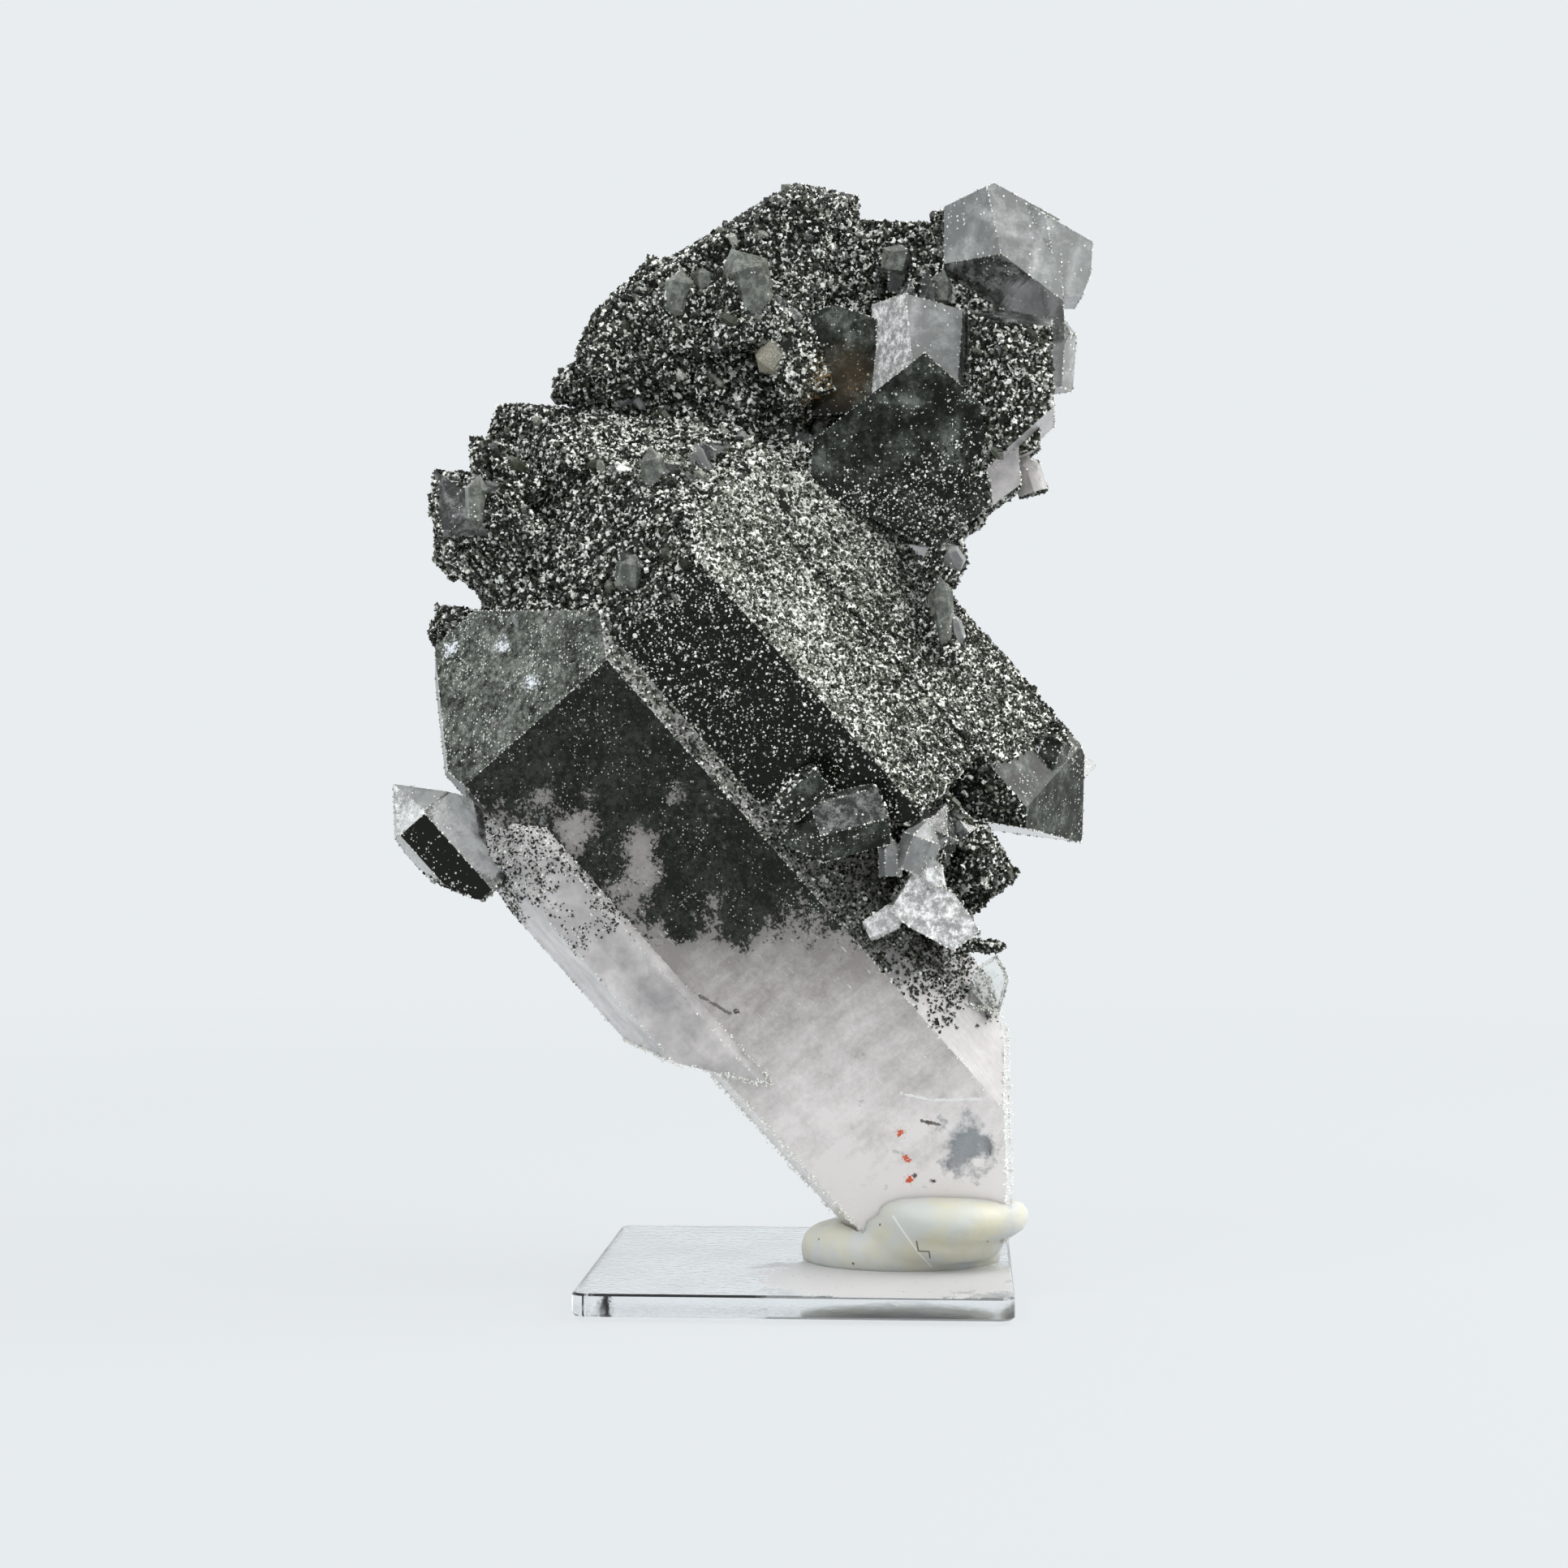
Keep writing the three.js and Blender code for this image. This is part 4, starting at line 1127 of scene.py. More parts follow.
def putty_material():
    """Translucent cream putty with bluish clouds, dark specks, a bent dark fibre and a fine scratch."""
    material, tree, shader = new_material("cream_putty")
    soft = noise(tree, 3.0, 4.0)
    specks = cells(tree, 0.8)
    red, _ = random_shades(tree, specks)
    few = ramp(tree, red, (0.95, 0.0), (0.97, 1.0))
    dirt = sums(tree, "MULTIPLY", few, ramp(tree, specks.outputs["Distance"], (0.12, 1.0), (0.2, 0.0)))
    cream = mix(tree, ramp(tree, soft, (0.42, 0), (0.6, 1)), (0.70, 0.68, 0.555), (0.655, 0.675, 0.65))
    in_front = past(tree, "Y", "LESS_THAN", PUTTY_FRONT_MM)
    scratch = sums(tree, "MULTIPLY", near_line(tree, *SCRATCH, 0.03, 0.12), in_front)
    cream = mix(tree, scratch, cream, (0.92, 0.92, 0.87))
    for start, end in zip(FIBRE[:-1], FIBRE[1:]):
        fibre = sums(tree, "MULTIPLY", near_line(tree, start, end, 0.03, 0.09), in_front)
        dirt = sums(tree, "MAXIMUM", dirt, fibre)
    wire(
        tree, shader,
        Base_Color=mix(tree, dirt, cream, DIRT_TONE),
        Roughness=sums(tree, "MULTIPLY_ADD", soft, 0.25, 0.35),
        Normal=bump(tree, noise(tree, 1.2, 4.0), 0.12),
        Transmission_Weight=0.3,
        IOR=1.4,
        Specular_IOR_Level=0.3,
        Subsurface_Weight=0.7,
        Subsurface_Radius=(1.0, 1.0, 0.8),
        Subsurface_Scale=PUTTY_SCATTER_MM * MM,
    )
    return material


putty_finish = made(putty_material())

# %% [markdown]
# The stand is clear polished acrylic, handled and a little dusty: smudges change its roughness, and a
# greyish film lies on its top in front of the putty. The film could be a thin sheet of its own, but then
# the stand would show a false edge.

# %% Acrylic
ACRYLIC_IOR = 1.49
FILM_MIDDLE = (9.5, -9.0, 2.0)
FILM_LOWEST_MM = 1.9


def acrylic_material():
    """Clear acrylic with faint smudges, and a ragged dusty film on its top that blocks the view."""
    material, tree, shader = new_material("clear_acrylic")
    smudge = noise(tree, 8.0, 5.0, 0.6)
    inside = sums(tree, "ADD", near(tree, FILM_MIDDLE, 7.0, 17.0), uneven(tree, 3.0, 6.0, 0.7, 1.4))
    film = ramp(tree, inside, (0.45, 0.0), (0.6, 0.72))
    film = sums(tree, "MULTIPLY", film, past(tree, "Z", "GREATER_THAN", FILM_LOWEST_MM))
    dusty = mix(tree, dust(tree, 0.45, -0.05), (0.40, 0.38, 0.372), (0.10, 0.09, 0.08))
    polished = mix(tree, smudge, (0.93, 0.96, 0.97), (0.98, 0.99, 1.0))
    wire(
        tree, shader,
        Base_Color=mix(tree, film, polished, dusty),
        Roughness=sums(tree, "MULTIPLY_ADD", film, 0.5, ramp(tree, smudge, (0.4, 0.02), (0.75, 0.14))),
        Transmission_Weight=sums(tree, "SUBTRACT", 1.0, film),
        Normal=bump(tree, noise(tree, 0.7, 2.0), 0.01),
        IOR=ACRYLIC_IOR,
    )
    return material


acrylic = made(acrylic_material())

# %% [markdown]
# ## The grown cluster
#
# The phantom fills the upper half of the main crystal. It ends at a level below, at a slanted edge on
# the left, and in separate blots around both. A painted map could hold that outline, but a depth in
# millimetres is simpler to change: a few distances give it, and noise in the finish makes its edge ragged.

# %% Where the phantom ends
PHANTOM_FLOOR_MM = 33.5
PHANTOM_EDGE = np.array([-27.0, 0.0, 44.8])
PHANTOM_SLOPE = np.array([0.717, 0.0, 0.697])
PHANTOM_BLOTS = [
    (-21.6, 44.4, 1.3, -0.6), (-17.3, 44.6, 0.7, -0.6), (-18.4, 41.4, 1.9, -2.4), (-15.2, 39.9, 2.0, 3),
    (-12.9, 40.3, 1.3, -2.2), (-12.6, 37.8, 1.5, -2.4), (-9.3, 44.5, 1.1, 0), (-10.5, 34.9, 1.5, 3.4),
    (-8.7, 33.1, 1.5, 3.4), (-6.2, 33.4, 0.8, -2), (-4.2, 33.0, 1.6, 3.4), (-14.4, 35.6, 1.8, -2),
]
DEPTH_LIMIT = 3.8


def phantom_depth(points):
    """How far a point lies inside the phantom: above its lower level, and right of its slanted edge or
    above the edge's upper end. Blots, each with a place, a reach and a depth, replace it nearby."""
    upper = np.maximum((points - PHANTOM_EDGE) @ PHANTOM_SLOPE, points[:, 2] - PHANTOM_EDGE[2] + 2)
    depth = np.minimum(np.minimum(points[:, 2] - PHANTOM_FLOOR_MM, upper), DEPTH_LIMIT)
    for x, z, reach, inside in PHANTOM_BLOTS:
        distance = np.hypot(points[:, 0] - x, points[:, 2] - z)
        depth = depth + (inside - depth) * smooth_step(1.7 * reach, 0.4 * reach, distance)
    return depth


print("depth at the phantom's edge and past it:", phantom_depth(PHANTOM_EDGE + [[0, 0, 0], [5, 0, 5]]))

# %% [markdown]
# The crusted faces are lumpy on the real specimen. Sculpting would do for one crystal, but a smooth random
# field does for all of them: each corner of the refined mesh moves along its own normal by the field.
# Bare faces stay flat. A corner that a crusted face shares with a bare one stays where it is, so the array
# called crusted is 1 only at corners with crust all round.

# %% Raise the crust
LUMP_MM = 0.34
LUMP_SIZE_MM = 2.2
LUMP_LIFT = 0.2

viewer_points = to_viewer(points)
crusted = np.ones(len(points))
np.minimum.at(crusted, triangles.reshape(-1), np.repeat((kinds == CRUST).astype(float), 3))
lumps = rough_field(viewer_points, LUMP_SIZE_MM, 3)
normals = point_normals(viewer_points, triangles)
crust_lift = LUMP_MM * (lumps + LUMP_LIFT) * crusted
raised = viewer_points + normals * crust_lift[:, None]
print("the crust moves by", crust_lift.min().round(2), "to", crust_lift.max().round(2), "mm")

# %% [markdown]
# Each face also gets a number for painted light and shade, and one for haze. The grains and crust on the
# bright sides and ledges, which the key light meets, are painted paler, and on the front sides darker.
# On milk and broken faces turned to the right the same number paints shade: the milky finishes turn a
# darker grey there. Haze lies under the main crystal's caps and on the dark faces of the small crystals.

# %% The finished cluster
TURNED_RIGHT = 0.6

bright = (on_host == BRIGHT_SIDE) | (on_twin == BRIGHT_SIDE) | (on_main == BRIGHT_SIDE)
ledge = (on_host == BRIGHT_CAP) | (on_twin == BRIGHT_CAP)
dark_side = (on_host == FRONT_SIDE) | (on_twin == FRONT_SIDE)
# Painted shade: milky and broken faces turned to the right, towards the key light, get a darker grey.
painted_shade_milk = ((kind == MILKY) | (on_main >= len(facings))) & (flat_normals[:, 0] > TURNED_RIGHT)
# Painted light and shade on each face: paler where the key light meets, darker on the front sides.
painted_shading = np.zeros(len(faces))
for these_faces, painted_value in ((bright, 1.0), (ledge, 0.7), (dark_side, -0.6), (painted_shade_milk, 1.0)):
    painted_shading[these_faces] = painted_value
main_cap = (on_main >= FRONT_CAP) & (on_main < len(facings))
hazy = main_cap | ((kind == DARK) & (on_host < 0) & (on_point < 0))
body = mesh_object(
    "quartz_cluster", from_viewer(raised), triangles,
    [crust, bare, clear, milky, frosted, dark_glossy, smoky, cracked], kinds,
    {
        "pale": np.repeat(painted_shading[parent], 3),
        "haze": np.repeat(hazy[parent] | bare_end, 3),
        "depth": phantom_depth(raised),
    },
)
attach(body, "root")
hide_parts("crystal_cluster")

# %% [markdown]
# The phantom and the milky quartz lie just under the main crystal's faces. A shrunken copy of the
# crystal would leave a wider gap at its ends than at its sides. So their surface is worked out from the
# crystal's middle: in each direction it lies where the nearest of the crystal's planes is met, moved
# inwards by an even gap and by a smooth random field.

# %% Phantom and milk inside the main crystal
CORE_GAP_MM = 0.45
CORE_RAGGED_MM = 0.5
CORE_MIDDLE = np.array([-8.0, 0.3, 33.0])
CORE_HALF_LENGTH = 34.0
CORE_HALF_WIDTH = 11.0
CORE_ROWS = 230
CORE_COLUMNS = 140
CORE_CUTS = MAIN_CUTS[:2] + [((19.2, -6, 12), (1, -0.1, 0.02)), ((18.3, -6, 25.6), (1, -0.1, 0.25))]


def core_surface(rows, columns):
    """Points of the core on a grid of directions from its middle, and the plane that limits each one.

    A direction is (w sin a cos b, w sin a sin b, h cos a) in the crystal's own frame, so that the grid
    is even on a long body. The distance is the least of room / (direction . facing) over the planes."""
    directions, distances = planes_of(MAIN, CORE_CUTS)
    room = distances - CORE_GAP_MM - directions @ CORE_MIDDLE
    a = np.linspace(0, math.pi, rows)[:, None, None]
    b = np.linspace(0, 2 * math.pi, columns, endpoint=False)[None, :, None]
    outward = CORE_HALF_WIDTH * np.sin(a) * (np.cos(b) * front + np.sin(b) * across)
    outward = outward + CORE_HALF_LENGTH * np.cos(a) * along
    outward = (outward / np.linalg.norm(outward, axis=2, keepdims=True)).reshape(-1, 3)
    toward = outward @ directions.T
    reach = np.where(toward > 1e-3, room / np.maximum(toward, 1e-3), np.inf)
    nearest = reach.argmin(axis=1)
    surface = CORE_MIDDLE + outward * reach.min(axis=1)[:, None]
    dent = CORE_RAGGED_MM * (0.5 + 0.5 * rough_field(surface, 4.0, 31))
    return surface - outward * dent[:, None], nearest


def closed_grid(rows, columns):
    """Triangles of a grid that closes on itself across its columns, wound to face outwards."""
    row, column = np.meshgrid(np.arange(rows - 1), np.arange(columns), indexing="ij")
    a = (row * columns + column).reshape(-1)
    b = (row * columns + (column + 1) % columns).reshape(-1)
    return np.concatenate([np.stack([a, a + columns, b + columns], 1), np.stack([a, b + columns, b], 1)])


core_points, core_plane = core_surface(CORE_ROWS, CORE_COLUMNS)
core_triangles = closed_grid(CORE_ROWS, CORE_COLUMNS)
under_cap = ((core_plane >= FRONT_CAP) & (core_plane < len(facings))).astype(float)
core = mesh_object(
    "phantom_and_milky_core", from_viewer(core_points), core_triangles, [core_finish],
    attributes={"depth": phantom_depth(core_points), "haze": under_cap},
)
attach(core, "root")

# %% [markdown]
# ## Grains of the crust
#
# The crust sparkles because it is made of well over a hundred thousand separate crystals: splinters,
# stubby quartz points, rough blocks and flat chlorite flakes. A particle system could scatter them, but
# arrays leave every choice in plain sight. Each one is a small closed shape, turned its own way and half
# sunk in the surface. They are worked out all together and joined into a few pieces.

# %% Shapes of single grains
def ring(count, radius, height):
    """Corners of an even polygon around Z at a height."""
    angle = np.arange(count) / count * 2 * math.pi
    return np.stack([radius * np.cos(angle), radius * np.sin(angle), np.full(count, height)], axis=1)


def prism_triangles(count):
    """Two fans of triangles for the ends and two triangles for each side, all facing outwards."""
    i = np.arange(count)
    j = (i + 1) % count
    sides = np.concatenate([np.stack([i, j, j + count], 1), np.stack([i, j + count, i + count], 1)])
    fan = np.arange(1, count - 1)
    bottom = np.stack([0 * fan, fan + 1, fan], 1)
    top = np.stack([0 * fan, fan, fan + 1], 1) + count
    return np.concatenate([sides, bottom, top])


def double_point(count, radius, height):
    """A ring with a point above and below it."""
    corners = np.concatenate([ring(count, radius, 0), [[0, 0, height], [0, 0, -height]]])
    i = np.arange(count)
    j = (i + 1) % count
    upper = np.stack([i, j, np.full(count, count)], 1)
    lower = np.stack([j, i, np.full(count, count + 1)], 1)
    return corners, np.concatenate([upper, lower])


SPLINTER = (
    np.array([[0.62, 0.0, -0.3], [-0.4, 0.5, -0.25], [-0.4, -0.5, -0.3], [0.05, 0.0, 0.62]]),
    np.array([[0, 2, 1], [0, 1, 3], [1, 2, 3], [2, 0, 3]]),
)
POINTED = double_point(4, 0.46, 0.72)
BLOCK = (np.concatenate([ring(4, 0.60, -0.40), ring(4, 0.52, 0.40)]), prism_triangles(4))
FLAKE = (np.concatenate([ring(6, 0.66, -0.14), ring(6, 0.66, 0.14)]), prism_triangles(6))
SHAPES = [(SPLINTER, 0.74), (POINTED, 0.16), (BLOCK, 0.06), (FLAKE, 0.04)]
print("triangles in a splinter, a point, a block and a flake:", [len(shape[1]) for shape, _ in SHAPES])

# %% [markdown]
# Three helpers place small shapes. One gives distances to a line, for ridges. One drops random places on
# the triangles, more of them where a triangle is large or its weight is high. One turns each shape its
# own way.

# %% Scatter and turn
def distance_to_line(points, start, end):
    """How far each point is from a straight line between two ends."""
    start, end = np.array(start), np.array(end)
    share = np.clip((points - start) @ (end - start) / ((end - start) @ (end - start)), 0, 1)
    return np.linalg.norm(points - start - share[:, None] * (end - start), axis=1)


def scatter_on(points, triangles, weight, count, rng):
    """Random places on triangles, as likely as their areas times the weight, with the triangle of each."""
    normals, areas = face_normals(points, triangles)
    chance = areas * weight
    chosen = rng.choice(len(triangles), count, p=chance / chance.sum())
    u, v = rng.random((2, count))
    over = u + v > 1
    u, v = np.where(over, 1 - u, u), np.where(over, 1 - v, v)
    a, b, c = points[triangles[chosen]].transpose(1, 0, 2)
    return a + (b - a) * u[:, None] + (c - a) * v[:, None], normals[chosen], chosen


def random_turns(count, rng):
    """Even random rotations, from random unit quaternions."""
    w, x, y, z = (q := rng.normal(size=(4, count))) / np.linalg.norm(q, axis=0)
    return np.stack(
        [
            np.stack([1 - 2 * (y * y + z * z), 2 * (x * y - z * w), 2 * (x * z + y * w)], axis=1),
            np.stack([2 * (x * y + z * w), 1 - 2 * (x * x + z * z), 2 * (y * z - x * w)], axis=1),
            np.stack([2 * (x * z - y * w), 2 * (y * z + x * w), 1 - 2 * (x * x + y * y)], axis=1),
        ],
        axis=1,
    )


print("one random turn:", random_turns(1, np.random.default_rng(1))[0].round(2).tolist())

# %% [markdown]
# Crusted faces are covered evenly. The crust also spreads onto some bare faces, thinner and finer: up the
# main crystal's bright side, over the stem's upper part, in the hollow, and along the host's front side.
# Each of these gets a density that rises smoothly along its crystal, with a random field to break up the
# border. Faces with painted light carry more and finer grains.

# %% Where grains sit
FINE_GRAINS = 0.60
PALE_GRAINS = 0.82
PALE_ENOUGH = 0.9
PALE_CROWDING = 1.5

spot = raised[triangles].mean(axis=1)
spot_x, _, spot_z = spot.T
patchy = rough_field(spot, 5.0, 51)
density = np.where(kinds == CRUST, 1.0, 0.0)
main_bright = on_main[parent] == BRIGHT_SIDE
density[main_bright] = smooth_step(-0.1, 0.5, patchy + (spot_z - 26) / 9)[main_bright]
stem_patch = (on_stem[parent] >= 0) & (spot_z > 30)
stem_cover = rough_field(spot, 2.6, 57) + (spot_z - 33) / 12
density[stem_patch] = 1.3 * smooth_step(0.0, 0.5, stem_cover)[stem_patch]
dusted = (kinds == DARK) & (spot_z > 60)
dusted_level = spot_z - 0.35 * (spot_x - 12) + 3 * patchy
density[dusted] = 1.5 * smooth_step(79, 70, dusted_level)[dusted]
host_front = on_host[parent] == FRONT_SIDE
along_host = (spot - HOST["tip"]) @ along
density[host_front] = (0.55 + 0.85 * smooth_step(-50, -26, along_host + 6 * patchy))[host_front]
on_pale = painted_shading[parent] > PALE_ENOUGH
density[on_pale] *= PALE_CROWDING
fineness = np.where(on_pale, PALE_GRAINS, 1.0)
fineness[host_front | stem_patch | dusted] = FINE_GRAINS
print("triangles that carry grains:", (density > 0).sum(), "of", len(density))

# %% [markdown]
# Each grain draws a size and a shade. The shade says if it is chlorite or quartz: it follows the painted
# light and shade of its face, wide fields that make darker and lighter patches, and chance. The field of
# the lumps paints shade and light too: grains are darker in the hollows and lighter on the crests. Along
# a few ridges the shade is lifted.

# %% Size, shade and stain of each grain
GRAINS = 158000
GRAIN_SIZE_MM = (0.18, 0.42)
GRAIN_RISE = 0.12
MIDDLE_SHADE = 0.42
PAINTED_SHADING_LIFT = 0.18
SHADE_SPREAD = 0.46
PALE_SPREAD = 0.20
STAIN_MIDDLE = np.array([5.0, 3.5, 82.0])
STAIN_SHARE = 0.9
LIGHTER_RIDGES = [
    ((-4.6, 3.0, 94.0), (0.6, 1.5, 85.0), 2.4, 0.22),
    ((-2.5, 3.0, 83.9), (0.6, 3.0, 84.2), 2.0, 0.30),
    ((-27.0, 0.0, 78.5), (-9.0, -1.0, 78.0), 2.0, 0.12),
]

rng = np.random.default_rng(7)
places, place_normals, chosen = scatter_on(raised, triangles, density, GRAINS, rng)
sizes = rng.uniform(*GRAIN_SIZE_MM, GRAINS) * np.exp(rng.normal(0, 0.18, GRAINS)) * fineness[chosen]
grain_painted_shading = painted_shading[parent[chosen]]
by_chance = rng.normal(0, 1, GRAINS) * np.where(grain_painted_shading > PALE_ENOUGH, PALE_SPREAD, SHADE_SPREAD)
# Painted light and shade: a grain is paler on faces that the key light meets and darker on front sides.
shade = MIDDLE_SHADE + PAINTED_SHADING_LIFT * grain_painted_shading + 0.14 * rough_field(places, 4.0, 71) + by_chance
# On the faces with painted light, grains get darker towards the right.
shade -= 0.13 * (grain_painted_shading > PALE_ENOUGH) * smooth_step(0, 16, places[:, 0])
shade += 0.15 * dusted[chosen] + 0.19 * host_front[chosen]
# Painted shade and light: the lumps' own field makes grains darker in the hollows, lighter on the crests.
shade += 0.10 * rough_field(places, LUMP_SIZE_MM, 3)
for ridge_start, ridge_end, width, lift in LIGHTER_RIDGES:
    shade += lift * smooth_step(width, width / 2, distance_to_line(places, ridge_start, ridge_end))
shade = np.clip(shade, 0.02, 1.0)
near_stain = smooth_step(5.0, 2.0, np.linalg.norm(places - STAIN_MIDDLE, axis=1))
stain = STAIN_SHARE * near_stain * rng.random(GRAINS)
turns = random_turns(GRAINS, rng)
centres_mm = places + place_normals * (sizes * GRAIN_RISE)[:, None]
print("grain sizes from", sizes.min().round(2), "to", sizes.max().round(2), "mm")

# %% [markdown]
# One object for each grain would be far too many objects, and one for all of them would be too heavy. So
# the grains are sorted along the growth axis and joined into six neighbouring pieces.

# %% Join the grains into pieces
GRAIN_PIECES = 6


def joined(shapes, shape_of, members, turns, sizes, middles, values):
    """Corners and triangles of many turned and scaled shapes in one mesh. Each named value in values
    belongs to a grain and is repeated for all of its corners."""
    all_points, all_triangles, offset = [], [], 0
    repeated = {key: [] for key in values}
    for which, (shape_corners, shape_triangles) in enumerate(shapes):
        these = members[shape_of[members] == which]
        grown = np.einsum("nij,cj->nci", turns[these], shape_corners) * sizes[these, None, None]
        count = len(shape_corners)
        starts = offset + count * np.arange(len(these))
        all_points.append((grown + middles[these, None]).reshape(-1, 3))
        all_triangles.append((shape_triangles[None] + starts[:, None, None]).reshape(-1, 3))
        for key in values:
            repeated[key].append(np.repeat(values[key][these], count))
        offset += count * len(these)
    attributes = {key: np.concatenate(parts) for key, parts in repeated.items()}
    return from_viewer(np.concatenate(all_points)), np.concatenate(all_triangles), attributes


shape_of = rng.choice(len(SHAPES), GRAINS, p=[share for _, share in SHAPES])
order = np.argsort(centres_mm @ along)
for number, members in enumerate(np.array_split(order, GRAIN_PIECES)):
    grain_points, grain_triangles, values = joined(
        [shape for shape, _ in SHAPES], shape_of, members, turns, sizes, centres_mm,
        {"shade": shade, "stain": stain},
    )
    name = f"crust_grains_{number + 1}"
    grains = mesh_object(name, grain_points, grain_triangles, [grain], attributes=values)
    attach(grains, "root")

# %% [markdown]
# Larger points stand out of the crust: six-sided quartz crystals about half a millimetre across. Most
# of them lean with the cluster's growth axis, because they grew on the same quartz, so their turns are
# drawn near that axis instead of evenly.

# %% Small quartz points in the crust
POINTS = 900
POINT_SIZE_MM = (0.40, 0.85)
POINT_LENGTH = 2.0
POINT_LEAN = 0.35
POINT_SINK = 0.12
CLEAR_POINT_SHARE = 0.3


def prism_with_points():
    """A six-sided prism with a six-sided point at each end."""
    corners = np.concatenate([ring(6, 0.5, -0.5), ring(6, 0.5, 0.5), [[0, 0, -0.95], [0, 0, 0.95]]])
    i = np.arange(6)
    j = (i + 1) % 6
    sides = np.concatenate([np.stack([i, j, j + 6], 1), np.stack([i, j + 6, i + 6], 1)])
    lower = np.stack([j, i, np.full(6, 12)], 1)
    upper = np.stack([i + 6, j + 6, np.full(6, 13)], 1)
    return corners * [1, 1, POINT_LENGTH / 2], np.concatenate([sides, lower, upper])


def leaning_turns(count, rng):
    """Rotations that take Z near the growth axis: an axis with some random lean and any spin about it."""
    axis = along + rng.normal(0, POINT_LEAN, (count, 3))
    axis /= np.linalg.norm(axis, axis=1, keepdims=True)
    side = np.cross(axis, rng.normal(size=(count, 3)))
    side /= np.linalg.norm(side, axis=1, keepdims=True)
    return np.stack([side, np.cross(axis, side), axis], axis=2)


dark_crust = (kinds == CRUST) & (painted_shading[parent] < PALE_ENOUGH)
crust_only = np.where(dark_crust, 0.3 + (patchy > 0), 0.0)
point_places, point_facings, point_faces = scatter_on(raised, triangles, crust_only, POINTS, rng)
point_sizes = rng.uniform(*POINT_SIZE_MM, POINTS) * np.exp(rng.normal(0, 0.22, POINTS))
point_turns = leaning_turns(POINTS, rng)
point_middles = point_places - point_facings * (point_sizes * POINT_SINK)[:, None]
# Painted light and shade: points on faces that the key light meets are paler, on front sides darker.
point_shade = 0.46 + 0.2 * painted_shading[parent[point_faces]] + rng.normal(0, 0.16, POINTS)
point_shade = np.clip(point_shade, 0, 1)
is_clear = rng.random(POINTS) < CLEAR_POINT_SHARE
for name, members, finish in (("crusted_points", ~is_clear, grain), ("clear_points", is_clear, smoky)):
    small_points, small_triangles, values = joined(
        [prism_with_points()], np.zeros(POINTS, int), np.flatnonzero(members), point_turns, point_sizes,
        point_middles, {"shade": point_shade, "stain": 0 * point_shade},
    )
    piece = mesh_object(name, small_points, small_triangles, [finish], attributes=values)
    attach(piece, "root")

# %% [markdown]
# A few larger crystals lie half sunk in the crust, each where the real one shows it, so they are listed
# by place, width, length, angle and finish. They rise less than a millimetre above the crust, and each
# one is made a little uneven.

# %% Larger crystals in the crust
SUNK_CRYSTALS = [
    ((-2.9, 1.5, 91.3), 4.0, 8.6, -24, "olive"),
    ((-9.9, 2.5, 90.8), 2.5, 5.2, 12, "olive"),
    ((-7.4, 3.8, 92.2), 2.0, 3.4, -5, "olive"),
    ((-1.1, 1.7, 85.1), 2.6, 3.6, 40, "yellow"),
    ((10.6, 5.4, 94.6), 2.8, 3.2, 14, "olive"),
    ((14.7, 3.5, 91.4), 2.1, 3.8, 5, "olive"),
    ((-27.8, -3.9, 71.0), 1.9, 5.4, 4, "olive"),
    ((-11.7, -5.7, 73.4), 2.1, 5.2, -12, "olive"),
    ((-13.7, -9.1, 64.0), 2.6, 3.6, 10, "olive"),
    ((-7.3, -2.8, 74.8), 0.9, 4.0, -24, "frosted"),
    ((14.4, -1.4, 60.9), 2.4, 8.0, -6, "olive"),
    ((15.8, -0.8, 59.6), 1.2, 2.8, -14, "frosted"),
    ((-14.9, 5.5, 81.6), 1.0, 1.8, 50, "frosted"),
    ((-13.6, 5.5, 81.3), 0.9, 1.6, -40, "frosted"),
    ((15.6, -0.4, 66.3), 1.8, 2.4, -30, "frosted"),
]
SUNK_RISE_MM = 0.85


def sunk_crystal(place, width, length, angle, rng):
    """An uneven prism with points, its axis turned by an angle from upright in the plane the viewer
    sees, and moved back until its front rises by the rise above its place."""
    corners, prism_faces = prism_with_points()
    corners = corners * [width, width, length / 1.9] + rng.normal(0, 0.07 * width, corners.shape)
    lean = math.radians(angle)
    axis = np.array([math.sin(lean), -0.12, math.cos(lean)])
    axis /= np.linalg.norm(axis)
    side = np.cross([0.0, -1.0, 0.0], axis)
    side /= np.linalg.norm(side)
    turn = np.stack([side, np.cross(axis, side), axis], axis=1)
    return corners @ turn.T + np.array(place) + [0, width * 0.46 - SUNK_RISE_MM, 0], prism_faces


sunk_finishes = {"olive": olive, "frosted": frosted, "yellow": grain}
sunk_points, sunk_triangles, sunk_finish, total = [], [], [], 0
for *measures, finish in SUNK_CRYSTALS:
    crystal_points, crystal_triangles = sunk_crystal(*measures, rng)
    sunk_points.append(crystal_points)
    sunk_triangles.append(crystal_triangles + total)
    sunk_finish.append(np.full(len(crystal_triangles), list(sunk_finishes).index(finish)))
    total += len(crystal_points)
piece = mesh_object(
    "sunk_crystals", from_viewer(np.concatenate(sunk_points)), np.concatenate(sunk_triangles),
    list(sunk_finishes.values()), np.concatenate(sunk_finish),
    {"shade": np.full(total, 0.74), "stain": np.full(total, 0.25)},
)
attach(piece, "root")

# %% [markdown]
# The edges of the clear crystals are nicked. Tiny pale splinters along them make thin bright lines: partly
# the white of chipped quartz, partly a painted highlight for the light that the edges catch. Real nicks
# would need cuts in the solid, far finer than it may hold. An edge is nicked where two bare faces meet at
# more than a slight angle, so each pair of triangles that share a side is looked up.

# %% Find the sharp edges
EDGE_COSINE = 0.93

